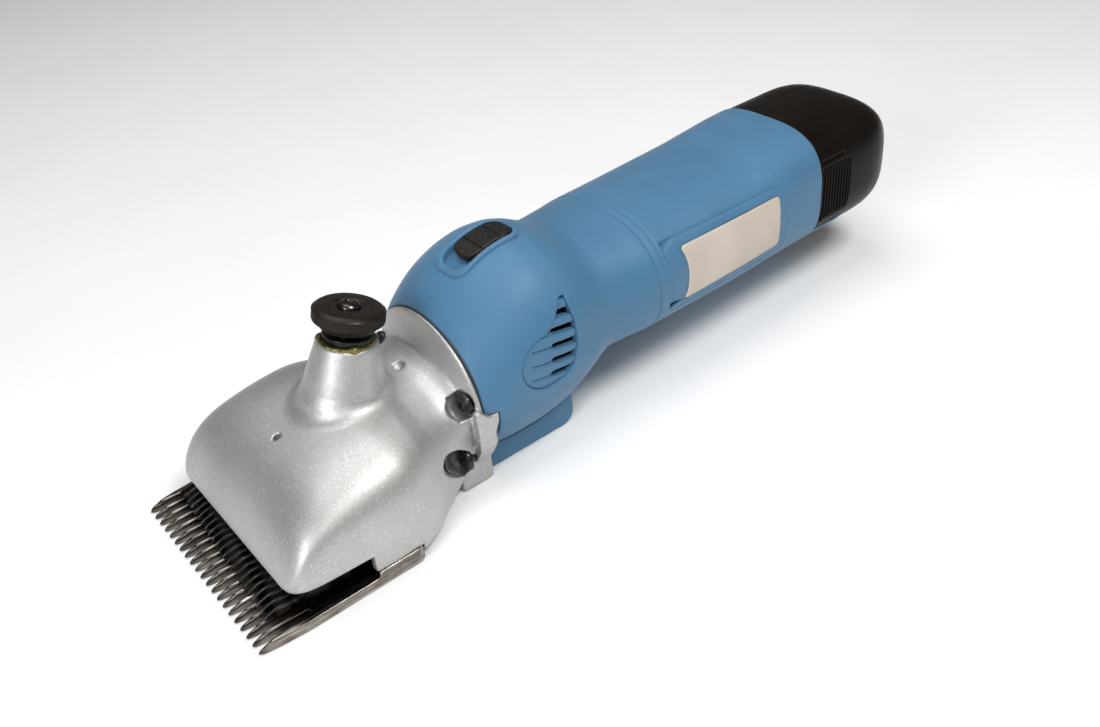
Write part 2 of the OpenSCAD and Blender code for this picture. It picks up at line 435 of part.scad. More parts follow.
module wiring() {
  for (s = [-1, 1]) color(s > 0 ? "#b02020" : "#202020") place() {
    tube(bez([165, s*9, motor_z], [168, s*9, 31], [166, s*4, 30], [172, s*4, 32.8], 8), 0.9, 6);
    tube(bez([186, s*6, 32.9], [190, s*6, 32.8], [190, s*6, 36], [191.4, s*6, 36], 5), 0.9, 6); }
}
module contact_block() color("#303236") place() difference() { box(192.02, 198, -15, 15, 24, 48); for (y = [-8, 0, 8]) box(190, 200, y - 0.42, y + 0.42, 31.9, 40.1); }
module contact_blades() color("#c58b4a") place() for (y = [-8, 0, 8]) box(192.4, 204, y - 0.4, y + 0.4, 32, 40);

// ================= battery pack =================
module pack2d(o) translate([0, cells_z]) rsq(17.55 - o, 17.55 - o, 8.65 - o);
module battery_stem() color("#1b1a19") place() difference() {
  xext(200.4, 240.2) pack2d(0);
  xext(203.4, 241) pack2d(0.9);
  for (y = [-8, 0, 8]) box(200, 204, y - 1, y + 1, 31, 41);
}
PX = [240.3, 258.8, 265, 270, 274, 277, 279.5, 281.6, 283.4, 284.8, 285.9, 286.6, 287];
module battery_case() color("#1b1a19") place() difference() {
  skin([for (x = PX) ring(min(x, 262), BODY, 64, ct(x, PACK_END, 1)) + [for (j = [0:63]) [x - min(x, 262), 0, 0]]]);
  difference() { box(240, 256.4, -26.4, 26.4, 8, 22.4); loft(BODY, [239, 258], 64, grip_wall + 0.8); }
  xext(240, 272) pack2d(0.9);
  for (s = [-1, 1]) box(241.4, 256.2, s > 0 ? 19.6 : -30, s > 0 ? 30 : -19.6, 25.6, 46.4);
}
module battery_cells() color("#3f7f4f") place() for (i = [-1, 1], j = [-1, 1]) union() {
  xcyl(cell_r, 204.6, 204.6 + cell_len - 1.2, i*8.35, cells_z + j*8.35);
  xcyl(2.8, 204.6 + cell_len - 1.25, 204.6 + cell_len, i*8.35, cells_z + j*8.35); }
module battery_terminals() color("#c58b4a") place() for (y = [-8, 0, 8], s = [-1, 1]) box(200.6, 203.2, y + s*0.75 - 0.2, y + s*0.75 + 0.2, 31.2, 40.8);
module release_button(s) difference() {
  union() {
    box(241.6, 256, s > 0 ? 23.2 : -26.7, s > 0 ? 26.7 : -23.2, 25.8, 46.2);
    for (i = [0:8]) box(242.3 + i*1.55, 242.3 + i*1.55 + 0.75, s > 0 ? 26.6 : -27.2, s > 0 ? 27.2 : -26.6, 27.4, 44.6);
  }
  translate([248.8, s > 0 ? 22 : -22, 36]) rotate([s > 0 ? -90 : 90, 0, 0]) cylinder(r = 3.4, h = 3.45);
}
module release_button_left() color("#151413") place() release_button(1);
module release_button_right() color("#151413") place() release_button(-1);
module button_springs() color("lightgray") place() for (s = [-1, 1])
  tube([for (i = [0:28]) [248.8 + 2.4*cos(i*45), s*(20 + 3.8*i/28), 36 + s*2.4*sin(i*45)]], 0.35, 6);

comb();
comb_screws();
cutter();
head_casting();
flange_screws();
flange_gasket();
fork_post();
drive_fork();
fork_fingers();
tension_pin();
tension_spring();
tension_sleeve();
tension_washer();
tension_nut();
crankshaft();
crank_roller();
drive_gear();
crank_bearing_front();
crank_bearing_rear();
gearbox_plate();
gearbox_screws();
rotor_shaft();
pinion();
fan();
rotor_core();
commutator();
motor_can();
motor_magnets();
motor_bearing_front();
motor_bearing_rear();
motor_end_cap();
brushes();
housing_left();
housing_right();
rest_foot();
vent_grille_left();
vent_grille_right();
switch_slider();
switch_body();
control_board();
wiring();
contact_block();
contact_blades();
side_label();
battery_stem();
battery_case();
battery_cells();
battery_terminals();
release_button_left();
release_button_right();
button_springs();
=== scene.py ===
import bpy
import json
import math
import numpy as np
from mathutils import Matrix, Vector


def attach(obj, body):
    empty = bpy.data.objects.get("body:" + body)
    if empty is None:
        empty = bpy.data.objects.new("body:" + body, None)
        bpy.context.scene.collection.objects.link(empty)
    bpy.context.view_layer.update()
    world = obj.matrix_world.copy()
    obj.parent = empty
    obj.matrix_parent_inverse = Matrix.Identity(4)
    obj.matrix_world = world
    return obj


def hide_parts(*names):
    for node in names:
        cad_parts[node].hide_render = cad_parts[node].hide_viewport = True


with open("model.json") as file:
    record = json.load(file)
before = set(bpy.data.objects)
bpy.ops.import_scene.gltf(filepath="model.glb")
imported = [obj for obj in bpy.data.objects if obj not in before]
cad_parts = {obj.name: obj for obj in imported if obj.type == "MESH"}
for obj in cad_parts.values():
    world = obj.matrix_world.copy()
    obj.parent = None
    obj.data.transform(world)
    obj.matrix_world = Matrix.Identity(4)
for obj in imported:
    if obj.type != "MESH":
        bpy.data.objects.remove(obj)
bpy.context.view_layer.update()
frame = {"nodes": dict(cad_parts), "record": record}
NODES = frame["nodes"]
SLOT_OF = {p["node"]: p["material_slot"] for p in frame["record"]["subparts"]}
K = 1.0          # grid coarseness

# Shapes are written in the CAD's working millimetres (x = 0 at the comb tips,
# z = 0 on the comb's rubbing face) and moved into the row frame at the end.
OX, OZ = 143.5, 3.3


def to_row(p):
    p = np.asarray(p, float)
    return (p + np.array([-OX, 0.0, OZ])) * 0.001


# ------------------------------------------------------------ section tables
HEAD = [
    [13.1, 31.6, 9.6, 8, -3, 5.0, 8], [13.6, 33.6, 11.0, 8, -3, 5.0, 8], [14.6, 35.4, 13.6, 8, -3, 5.0, 8],
    [16.6, 37.0, 17.6, 8, -3, 4.9, 8], [19.5, 37.9, 22.0, 8, -3, 4.8, 8], [23.5, 38.4, 26.2, 8, -3, 4.5, 8],
    [28.5, 38.7, 29.4, 8, -3, 4.2, 8], [35, 39.0, 31.8, 8, -3, 3.9, 8], [44, 39.3, 34.0, 8, -3, 3.6, 8],
    [54, 38.9, 35.5, 8, -3, 3.3, 8], [62, 36.0, 35.4, 9, -3, 3.0, 7], [69, 31.4, 34.3, 12, -3, 2.6, 6],
    [75, 28.2, 34.2, 15, -3, 2.3, 5], [79, 26.7, 34.9, 17, -3, 2.15, 4], [82, 26.0, 36.2, 19, -3, 2.1, 3.4],
    [83.6, 25.9, 37.4, 20.5, -3, 2.1, 3.2], [84.6, 26.5, 41.0, 22, -3, 2.0, 3.0], [85.8, 27.5, 46.6, 23.3, -3, 2.0, 2.8],
    [86.3, 27.8, 47.8, 23.8, -3, 2.0, 2.8], [87, 27.8, 48.0, 23.9, -3, 2.0, 2.8]]
BODY = [
    [87.6, 28.0, 48.3, 24.0, -0.6, 2.10, 2.10], [90, 29.0, 51.4, 25.0, -1.0, 2.10, 2.10],
    [94, 30.2, 54.9, 26.6, -1.4, 2.12, 2.12], [98, 31.0, 57.7, 28.0, -1.7, 2.15, 2.15],
    [104, 31.7, 60.9, 29.5, -1.8, 2.15, 2.15], [110, 32.0, 62.9, 30.6, -1.7, 2.15, 2.15],
    [116, 31.9, 63.8, 31.5, -1.1, 2.15, 2.15], [122, 31.4, 63.4, 32.2, 0.4, 2.15, 2.15],
    [128, 30.6, 61.6, 32.8, 3.2, 2.15, 2.15], [133, 29.6, 58.9, 33.2, 6.8, 2.18, 2.18],
    [137, 28.8, 56.9, 33.6, 10.2, 2.20, 2.20], [141, 28.5, 56.0, 34.2, 12.4, 2.25, 2.25],
    [150, 29.2, 56.0, 34.5, 12.8, 2.32, 2.32], [158, 29.9, 56.3, 34.6, 12.9, 2.40, 2.40],
    [170, 29.9, 56.5, 34.8, 13.0, 2.45, 2.45], [190, 29.6, 57.0, 35.2, 13.2, 2.60, 2.60],
    [207, 29.0, 57.6, 35.7, 13.6, 2.75, 2.75], [220, 28.4, 58.8, 36.4, 13.9, 2.85, 2.85],
    [232, 27.9, 59.9, 37.0, 14.1, 2.95, 2.95], [241, 27.7, 60.2, 37.2, 14.2, 3.00, 3.00],
    [262, 27.7, 60.2, 37.2, 14.2, 3.00, 3.00]]
PACK = [[240, 0.4], [262, 0.4], [268, 0.6], [273, 1.3], [277, 2.5], [280.5, 4.3], [283.4, 6.7], [285.6, 9.6],
        [286.8, 12.6], [287, 14]]


def cubic(T, k):
    """Column k of table T, read with the CAD's shape-keeping cubic at every 0.05 mm."""
    x = np.array([r[0] for r in T], float)
    v = np.array([r[k] for r in T], float)
    h, d = np.diff(x), np.diff(v) / np.diff(x)
    m = np.empty(len(x))
    m[0], m[-1] = d[0], d[-1]
    for i in range(1, len(x) - 1):
        m[i] = 0 if d[i - 1] * d[i] <= 0 else 3 * (h[i - 1] + h[i]) / (
            (2 * h[i] + h[i - 1]) / d[i - 1] + (h[i] + 2 * h[i - 1]) / d[i])
    q = np.arange(x[0], x[-1] + 0.01, 0.05)
    i = np.clip(np.searchsorted(x, q, side="right") - 1, 0, len(x) - 2)
    t = np.clip((q - x[i]) / h[i], 0, 1)
    return q, ((2 * t**3 - 3 * t * t + 1) * v[i] + (t**3 - 2 * t * t + t) * m[i] * h[i]
               + (3 * t * t - 2 * t**3) * v[i + 1] + (t**3 - t * t) * m[i + 1] * h[i])


class Sections:
    def __init__(self, T):
        self.cols = [cubic(T, k) for k in range(1, len(T[0]))]

    def at(self, x):
        return [np.interp(x, q, c) for q, c in self.cols]


S_HEAD, S_BODY, S_PACK = Sections(HEAD), Sections(BODY), Sections(PACK)


# ------------------------------------------------------------ distance fields
def loft(S, x, y, z):
    """Signed distance, near the skin, to the lofted superellipse S. Negative inside."""
    a, zt, zm, zb, n, m = S.at(x)
    dz = z - zm
    up = dz >= 0
    h = np.where(up, zt - zm, zm - zb)
    nn = np.where(up, n, m)
    w = np.maximum(np.abs(dz) / h, 1e-3)
    u = np.maximum(np.abs(y) / a, 1e-3)
    F = np.where(up, u**n, u**m) + w**nn
    G = F ** (1 / nn)
    g = np.sqrt(np.where(up, u ** (2 * n - 2), u ** (2 * m - 2)) / (a * a) + w ** (2 * nn - 2) / (h * h))
    return (G - 1) * F / (G * np.maximum(g, 1e-9))


def smin(a, b, k):
    h = np.clip(0.5 + 0.5 * (b - a) / k, 0, 1)
    return b * (1 - h) + a * h - k * h * (1 - h)


def smax(a, b, k):
    return -smin(-a, -b, k)


def cut(a, b, k=0.3):
    return smax(a, -b, k)


def rbox(x, y, z, lo, hi, r=0.5):
    """Rounded box."""
    q = [np.abs(v - (l + u) / 2) - (u - l) / 2 + r for v, l, u in zip((x, y, z), lo, hi)]
    out = np.sqrt(sum(np.maximum(v, 0) ** 2 for v in q))
    return out + np.minimum(np.maximum(np.maximum(q[0], q[1]), q[2]), 0) - r


def rrect(u, v, hu, hv, r):
    a, b = np.abs(u) - hu + r, np.abs(v) - hv + r
    return np.sqrt(np.maximum(a, 0) ** 2 + np.maximum(b, 0) ** 2) + np.minimum(np.maximum(a, b), 0) - r


def cyl_x(x, y, z, r, x0, x1, cy, cz, k=0.2):
    return smax(np.sqrt((y - cy) ** 2 + (z - cz) ** 2) - r, np.abs(x - (x0 + x1) / 2) - (x1 - x0) / 2, k)


def slanted(x, y, z, a, r, length):
    """Rod of radius r from a, outward, forward and up."""
    n = (-0.467, 0.659, 0.589)
    t = np.clip((x - a[0]) * n[0] + (y - a[1]) * n[1] + (z - a[2]) * n[2], 0, length)
    return np.sqrt((x - a[0] - t * n[0]) ** 2 + (y - a[1] - t * n[1]) ** 2 + (z - a[2] - t * n[2]) ** 2) - r


def polygon_sd(P, u, v):
    P = np.asarray(P, float)
    best, inside = None, None
    for i in range(len(P)):
        a, b = P[i], P[(i + 1) % len(P)]
        e = b - a
        wu, wv = u - a[0], v - a[1]
        t = np.clip((wu * e[0] + wv * e[1]) / (e @ e), 0, 1)
        d = (wu - t * e[0]) ** 2 + (wv - t * e[1]) ** 2
        best = d if best is None else np.minimum(best, d)
        cross = ((a[1] <= v) & (b[1] > v) & (e[0] * wv - e[1] * wu > 0)) | (
            (a[1] > v) & (b[1] <= v) & (e[0] * wv - e[1] * wu < 0))
        # each crossing of the upward ray toggles the side
        inside = cross if inside is None else inside ^ cross
    return np.where(inside, -1, 1) * np.sqrt(best)


TILT = math.radians(16.1)
TS, TC = math.sin(TILT), math.cos(TILT)


def knob(x, y, z):
    """Height along the tension axis, distance from it, and the in-plane offset."""
    d = (x - 64.7) * TS + (z - 60) * TC
    e = (x - 64.7) * TC - (z - 60) * TS
    return d, np.sqrt(e * e + y * y), e


SWX, SWZ, SWR = 118.0, 29.1, 34.7


def track(x, z):
    """Radius and arc length (from straight up, positive to the front) on the switch track."""
    r = np.sqrt((x - SWX) ** 2 + (z - SWZ) ** 2)
    return r, (np.degrees(np.arctan2(z - SWZ, x - SWX)) - 90) * math.pi / 180 * SWR


def deg(a):
    return (a - 90) * math.pi / 180 * SWR


# ------------------------------------------------------------ meshing
def axis(*runs):
    """Grid lines: axis((start, step), ..., end)."""
    out, end = [], runs[-1]
    starts = list(runs[:-1])
    for i, (s, step) in enumerate(starts):
        e = starts[i + 1][0] if i + 1 < len(starts) else end
        n = max(1, int(round((e - s) / (step * K))))
        out.extend(list(np.linspace(s, e, n, endpoint=False)))
    return np.array(out + [end])


EDGES = [(0, 1), (2, 3), (4, 5), (6, 7), (0, 2), (1, 3), (4, 6), (5, 7), (0, 4), (1, 5), (2, 6), (3, 7)]
CORNERS = np.array([(a, b, c) for a in (0, 1) for b in (0, 1) for c in (0, 1)])


def skin(f, X, Y, Z, steps=3):
    """Surface nets on a rectilinear grid, then the points are drawn onto f = 0."""
    V = np.empty((len(X), len(Y), len(Z)), np.float32)
    for i in range(0, len(X), 24):
        V[i:i + 24] = f(X[i:i + 24, None, None], Y[None, :, None], Z[None, None, :])
    for s in (0, -1):
        V[s] = np.maximum(V[s], 0.01)
        V[:, s] = np.maximum(V[:, s], 0.01)
        V[:, :, s] = np.maximum(V[:, :, s], 0.01)
    S = V < 0
    c = sum(S[a:S.shape[0] - 1 + a, b:S.shape[1] - 1 + b, d:S.shape[2] - 1 + d].astype(np.int8) for a, b, d in CORNERS)
    act = (c > 0) & (c < 8)
    ii = np.argwhere(act)
    idx = np.full(act.shape, -1, np.int32)
    idx[act] = np.arange(len(ii))
    vals = [V[ii[:, 0] + a, ii[:, 1] + b, ii[:, 2] + d].astype(float) for a, b, d in CORNERS]
    acc, cnt = np.zeros((len(ii), 3)), np.zeros(len(ii))
    for a, b in EDGES:
        va, vb = vals[a], vals[b]
        m = (va < 0) != (vb < 0)
        t = np.where(m, va / np.where(m, va - vb, 1), 0)
        p = CORNERS[a] + t[:, None] * (CORNERS[b] - CORNERS[a])
        acc += np.where(m[:, None], p, 0)
        cnt += m
    fr = acc / cnt[:, None]
    P = np.empty((len(ii), 3))
    for k, G in enumerate((X, Y, Z)):
        P[:, k] = G[ii[:, k]] + fr[:, k] * (G[ii[:, k] + 1] - G[ii[:, k]])
    cell = np.min([(G[ii[:, k] + 1] - G[ii[:, k]]) for k, G in enumerate((X, Y, Z))], axis=0)
    quads = []
    n0, n1, n2 = S.shape
    for ax in range(3):
        A = np.take(S, range(0, S.shape[ax] - 1), axis=ax)
        B = np.take(S, range(1, S.shape[ax]), axis=ax)
        D = A != B
        w = np.argwhere(D)
        o = [k for k in range(3) if k != ax]
        w = w[(w[:, o[0]] > 0) & (w[:, o[1]] > 0) & (w[:, o[0]] < S.shape[o[0]] - 1) & (w[:, o[1]] < S.shape[o[1]] - 1)]
        ins = A[w[:, 0], w[:, 1], w[:, 2]]
        q = []
        for s, t in ((-1, -1), (0, -1), (0, 0), (-1, 0)):
            g = w.copy()
            g[:, o[0]] += s
            g[:, o[1]] += t
            q.append(idx[g[:, 0], g[:, 1], g[:, 2]])
        q = np.stack(q, 1)
        flip = ins if ax == 1 else ~ins
        q[flip] = q[flip][:, ::-1]
        quads.append(q)
    Q = np.concatenate(quads)
    e = 0.02
    for _ in range(steps):
        x, y, z = P.T
        d = f(x, y, z)
        g = np.stack([f(x + e, y, z) - f(x - e, y, z), f(x, y + e, z) - f(x, y - e, z),
                      f(x, y, z + e) - f(x, y, z - e)], 1) / (2 * e)
        step = g * (d / np.maximum((g * g).sum(1), 0.05))[:, None]
        L = np.linalg.norm(step, axis=1)
        step *= np.minimum(1, 0.45 * cell / np.maximum(L, 1e-9))[:, None]
        P = P - step
    return P, Q


def make(name, P, faces, mat, body, *replaced, slot=None, smooth=True):
    me = bpy.data.meshes.new(name)
    P = to_row(P)
    if isinstance(faces, np.ndarray):
        k = faces.shape[1]
        me.vertices.add(len(P))
        me.vertices.foreach_set("co", P.astype(np.float32).ravel())
        me.loops.add(faces.size)
        me.loops.foreach_set("vertex_index", faces.astype(np.int32).ravel())
        me.polygons.add(len(faces))
        me.polygons.foreach_set("loop_start", np.arange(0, faces.size, k, dtype=np.int32))
        me.update(calc_edges=True)
    else:
        me.from_pydata([tuple(p) for p in P], [], [list(map(int, q)) for q in faces])
    me.validate()
    me.polygons.foreach_set("use_smooth", [smooth] * len(me.polygons))
    me.update()
    o = bpy.data.objects.new(name, me)
    bpy.context.scene.collection.objects.link(o)
    me.materials.append(mat)
    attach(o, body)
    if replaced:
        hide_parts(*replaced)
    return o


def lathe(prof, n, fn=None):
    """Closed revolve of (r, d) points about the tension axis; fn(r, d, angle, i) can move r."""
    pts, faces = [], []
    m = len(prof)
    th = np.arange(n) * 2 * math.pi / n
    for i, (r, d) in enumerate(prof):
        for t in th:
            rr = fn(r, d, t, i) if fn else r
            pts.append([rr * math.cos(t), rr * math.sin(t), d])
    for i in range(m):
        i2 = (i + 1) % m
        for j in range(n):
            a, b = i * n + j, i * n + (j + 1) % n
            c, e = i2 * n + (j + 1) % n, i2 * n + j
            faces.append([a, b, c, e])
    P = np.array(pts)
    return P, np.array(faces)


def on_knob(P):
    """Local (u, v, d) about the tension axis to millimetres."""
    return np.stack([64.7 + P[:, 0] * TC + P[:, 2] * TS, P[:, 1], 60 - P[:, 0] * TS + P[:, 2] * TC], 1)


def arc_round(points, r=0.3, n=4):
    """Rounds the corners of a closed (r, d) profile."""
    P = [np.array(p, float) for p in points]
    out = []
    for i, p in enumerate(P):
        a, b = P[i - 1] - p, P[(i + 1) % len(P)] - p
        la, lb = np.linalg.norm(a), np.linalg.norm(b)
        q = min(r, la * 0.45, lb * 0.45)
        s, e = p + a / la * q, p + b / lb * q
        for k in range(n + 1):
            t = k / n
            out.append((1 - t) ** 2 * s + 2 * t * (1 - t) * p + t * t * e)
    return [tuple(p) for p in out]


# ------------------------------------------------------------ materials
def nodes_of(name):
    m = bpy.data.materials.new(name)
    m.use_nodes = True
    t = m.node_tree
    t.nodes.clear()
    out = t.nodes.new("ShaderNodeOutputMaterial")
    b = t.nodes.new("ShaderNodeBsdfPrincipled")
    t.links.new(b.outputs[0], out.inputs[0])
    return m, t, b


def noise(t, scale, detail=4.0, rough=0.55, stretch=(1, 1, 1), offset=0.0):
    co = t.nodes.new("ShaderNodeTexCoord")
    mp = t.nodes.new("ShaderNodeMapping")
    mp.inputs["Scale"].default_value = stretch
    mp.inputs["Location"].default_value = (offset, offset * 0.7, offset * 1.3)
    t.links.new(co.outputs["Object"], mp.inputs[0])
    n = t.nodes.new("ShaderNodeTexNoise")
    n.inputs["Scale"].default_value = scale
    n.inputs["Detail"].default_value = detail
    n.inputs["Roughness"].default_value = rough
    t.links.new(mp.outputs[0], n.inputs["Vector"])
    return n.outputs["Fac"]


def voronoi(t, scale, out="Color"):
    co = t.nodes.new("ShaderNodeTexCoord")
    v = t.nodes.new("ShaderNodeTexVoronoi")
    v.inputs["Scale"].default_value = scale
    t.links.new(co.outputs["Object"], v.inputs["Vector"])
    return v.outputs[out]


def ramp(t, fac, stops):
    r = t.nodes.new("ShaderNodeValToRGB")
    e = r.color_ramp.elements
    while len(e) < len(stops):
        e.new(0.5)
    for el, (p, c) in zip(e, stops):
        el.position = p
        el.color = (*c, 1) if len(c) == 3 else c
    t.links.new(fac, r.inputs[0])
    return r.outputs[0]


def to_range(t, fac, a, b, lo, hi):
    m = t.nodes.new("ShaderNodeMapRange")
    for i, v in enumerate((a, b, lo, hi), 1):
        m.inputs[i].default_value = v
    t.links.new(fac, m.inputs[0])
    return m.outputs[0]


def mixc(t, fac, a, b, mode="MIX"):
    m = t.nodes.new("ShaderNodeMix")
    m.data_type = "RGBA"
    m.blend_type = mode
    for sock, v in ((m.inputs[0], fac), (m.inputs[6], a), (m.inputs[7], b)):
        if isinstance(v, (int, float)):
            sock.default_value = v
        elif isinstance(v, tuple):
            sock.default_value = (*v, 1)
        else:
            t.links.new(v, sock)
    return m.outputs[2]


def bump(t, b, height, strength, distance, under=None):
    n = t.nodes.new("ShaderNodeBump")
    n.inputs["Strength"].default_value = strength
    n.inputs["Distance"].default_value = distance
    t.links.new(height, n.inputs["Height"])
    if under is not None:
        t.links.new(under, n.inputs["Normal"])
    t.links.new(n.outputs[0], b.inputs["Normal"])
    return n.outputs[0]


def axis_value(t, k):
    co = t.nodes.new("ShaderNodeTexCoord")
    s = t.nodes.new("ShaderNodeSeparateXYZ")
    t.links.new(co.outputs["Object"], s.inputs[0])
    return s.outputs[k]


def plain(name, c1, c2, rough=(0.4, 0.55), metal=0.0, scale=60, fine=2500, strength=0.15, dist=0.00005, coat=0.0,
          stretch=(1, 1, 1), spec=0.5):
    """Two-tone surface with uneven gloss and a fine grain."""
    m, t, b = nodes_of(name)
    n = noise(t, scale, 5, stretch=stretch)
    t.links.new(ramp(t, n, [(0.3, c1), (0.7, c2)]), b.inputs["Base Color"])
    t.links.new(to_range(t, noise(t, scale * 2.3, 4, offset=3.1, stretch=stretch), 0.3, 0.7, *rough), b.inputs["Roughness"])
    b.inputs["Metallic"].default_value = metal
    b.inputs["Coat Weight"].default_value = coat
    b.inputs["Specular IOR Level"].default_value = spec
    bump(t, b, noise(t, fine, 2, offset=1.7, stretch=stretch), strength, dist)
    return m


def silver_paint():
    """Silver sparkle paint: flakes that tip a little each way, on a warm grey metal ground."""
    m, t, b = nodes_of("silver_paint")
    flake = voronoi(t, 3600, "Color")
    sep = t.nodes.new("ShaderNodeSeparateColor")
    t.links.new(flake, sep.inputs[0])
    ground = ramp(t, noise(t, 45, 4), [(0.3, (0.45, 0.445, 0.43)), (0.7, (0.52, 0.515, 0.505))])
    lit = mixc(t, to_range(t, sep.outputs[0], 0.90, 0.995, 0, 0.6), ground, (0.86, 0.86, 0.87))
    dark = mixc(t, to_range(t, sep.outputs[1], 0.88, 0.99, 0, 0.35), lit, (0.26, 0.25, 0.24))
    t.links.new(dark, b.inputs["Base Color"])
    b.inputs["Metallic"].default_value = 0.80
    t.links.new(to_range(t, sep.outputs[2], 0, 1, 0.40, 0.58), b.inputs["Roughness"])
    b.inputs["Coat Weight"].default_value = 0.12
    b.inputs["Coat Roughness"].default_value = 0.30
    first = bump(t, b, noise(t, 520, 3), 0.10, 0.00010)
    bump(t, b, sep.outputs[1], 0.22, 0.00004, first)
    return m


def blade_steel(name, tip_x, dark=0.0):
    """Polished, oiled steel: ground streaks along the teeth, brown-black tips and edges, and painted shade on the teeth
    under the cutter and the head's lip.
    """
    m, t, b = nodes_of(name)
    x = axis_value(t, 0)
    streak = noise(t, 900, 3, stretch=(0.06, 1, 1))
    cloud = noise(t, 160, 4, offset=2)
    ground = ramp(t, streak, [(0.25, (0.13, 0.115, 0.10)), (0.55, (0.26, 0.235, 0.21)), (0.8, (0.62, 0.59, 0.56))])
    brown = mixc(t, to_range(t, cloud, 0.45, 0.75, 0, 0.8), ground, (0.07, 0.05, 0.035))
    tip = to_range(t, x, tip_x, tip_x + 0.0032, 0.92, 0.0)
    y = axis_value(t, 1)
    ab = t.nodes.new("ShaderNodeMath")
    ab.operation = "ABSOLUTE"
    t.links.new(y, ab.inputs[0])
    # painted shade: the teeth inside the guards go dark behind the cutter's tooth tips, where the cutter and the head's
    # lip shade them
    inner = to_range(t, ab.outputs[0], 0.0362, 0.0374, 1, 0)
    deep = to_range(t, x, tip_x + 0.0062, tip_x + 0.0098, 0, 0.9)
    mul = t.nodes.new("ShaderNodeMath")
    mul.operation = "MULTIPLY"
    t.links.new(inner, mul.inputs[0])
    t.links.new(deep, mul.inputs[1])
    shaded_under_cutter = mixc(t, mul.outputs[0], brown, (0.035, 0.028, 0.022))
    t.links.new(mixc(t, tip, shaded_under_cutter, (0.03, 0.022, 0.018)), b.inputs["Base Color"])
    b.inputs["Metallic"].default_value = 1.0
    t.links.new(to_range(t, streak, 0.3, 0.7, 0.16, 0.34), b.inputs["Roughness"])
    bump(t, b, noise(t, 1400, 2, stretch=(0.05, 1, 1)), 0.2, 0.00004)
    return m


def cutter_steel():
    m, t, b = nodes_of("cutter_steel")
    co = t.nodes.new("ShaderNodeTexCoord")
    wv = t.nodes.new("ShaderNodeTexWave")
    wv.bands_direction = "Y"
    wv.inputs["Scale"].default_value = 420
    wv.inputs["Distortion"].default_value = 0.6
    wv.inputs["Detail"].default_value = 2
    t.links.new(co.outputs["Object"], wv.inputs["Vector"])
    # painted shade: the near-black steel ground darkens the cutter for the shadow it sits in under the head's lip
    ground = ramp(t, wv.outputs["Fac"], [(0.25, (0.012, 0.010, 0.009)), (0.75, (0.085, 0.078, 0.07))])
    wear = ramp(t, noise(t, 260, 4), [(0.55, (0, 0, 0)), (0.75, (0.12, 0.10, 0.085))])
    t.links.new(mixc(t, 1.0, ground, wear, "ADD"), b.inputs["Base Color"])
    b.inputs["Metallic"].default_value = 0.85
    t.links.new(to_range(t, noise(t, 700, 3, stretch=(0.1, 1, 1)), 0.3, 0.7, 0.28, 0.5), b.inputs["Roughness"])
    bump(t, b, wv.outputs["Fac"], 0.5, 0.00012)
    return m


def blue_plastic():
    """Soft-touch moulded shell: fine spark-eroded grain, faint mottling and darker rubbed places."""
    m, t, b = nodes_of("blue_soft_plastic")
    cloud = ramp(t, noise(t, 26, 5), [(0.3, (0.050, 0.148, 0.262)), (0.55, (0.057, 0.165, 0.288)), (0.75, (0.063, 0.178, 0.307))])
    smudge = to_range(t, noise(t, 110, 6, 0.7, offset=5), 0.62, 0.82, 0, 0.35)
    t.links.new(mixc(t, smudge, cloud, (0.038, 0.108, 0.185)), b.inputs["Base Color"])
    t.links.new(to_range(t, noise(t, 70, 4, offset=9), 0.3, 0.7, 0.47, 0.60), b.inputs["Roughness"])
    b.inputs["Specular IOR Level"].default_value = 0.38
    b.inputs["Sheen Weight"].default_value = 0.12
    b.inputs["Sheen Roughness"].default_value = 0.45
    first = bump(t, b, noise(t, 380, 3, offset=2), 0.06, 0.0002)
    bump(t, b, noise(t, 3600, 2, 0.6), 0.16, 0.00005, first)
    return m


def label_vinyl():
    m, t, b = nodes_of("label_vinyl")
    t.links.new(ramp(t, noise(t, 40, 4), [(0.3, (0.48, 0.41, 0.35)), (0.7, (0.58, 0.51, 0.445))]), b.inputs["Base Color"])
    t.links.new(to_range(t, noise(t, 200, 4, offset=2), 0.3, 0.7, 0.32, 0.48), b.inputs["Roughness"])
    bump(t, b, noise(t, 1500, 2), 0.08, 0.00003)
    return m


def grease():
    m, t, b = nodes_of("oily_grease")
    t.links.new(ramp(t, noise(t, 330, 4), [(0.3, (0.03, 0.045, 0.012)), (0.48, (0.09, 0.10, 0.02)), (0.62, (0.20, 0.13, 0.02)),
                                           (0.8, (0.05, 0.045, 0.012))]), b.inputs["Base Color"])
    t.links.new(to_range(t, noise(t, 500, 3, offset=4), 0.3, 0.7, 0.08, 0.3), b.inputs["Roughness"])
    b.inputs["Coat Weight"].default_value = 0.6
    bump(t, b, noise(t, 900, 3), 0.3, 0.0001)
    return m


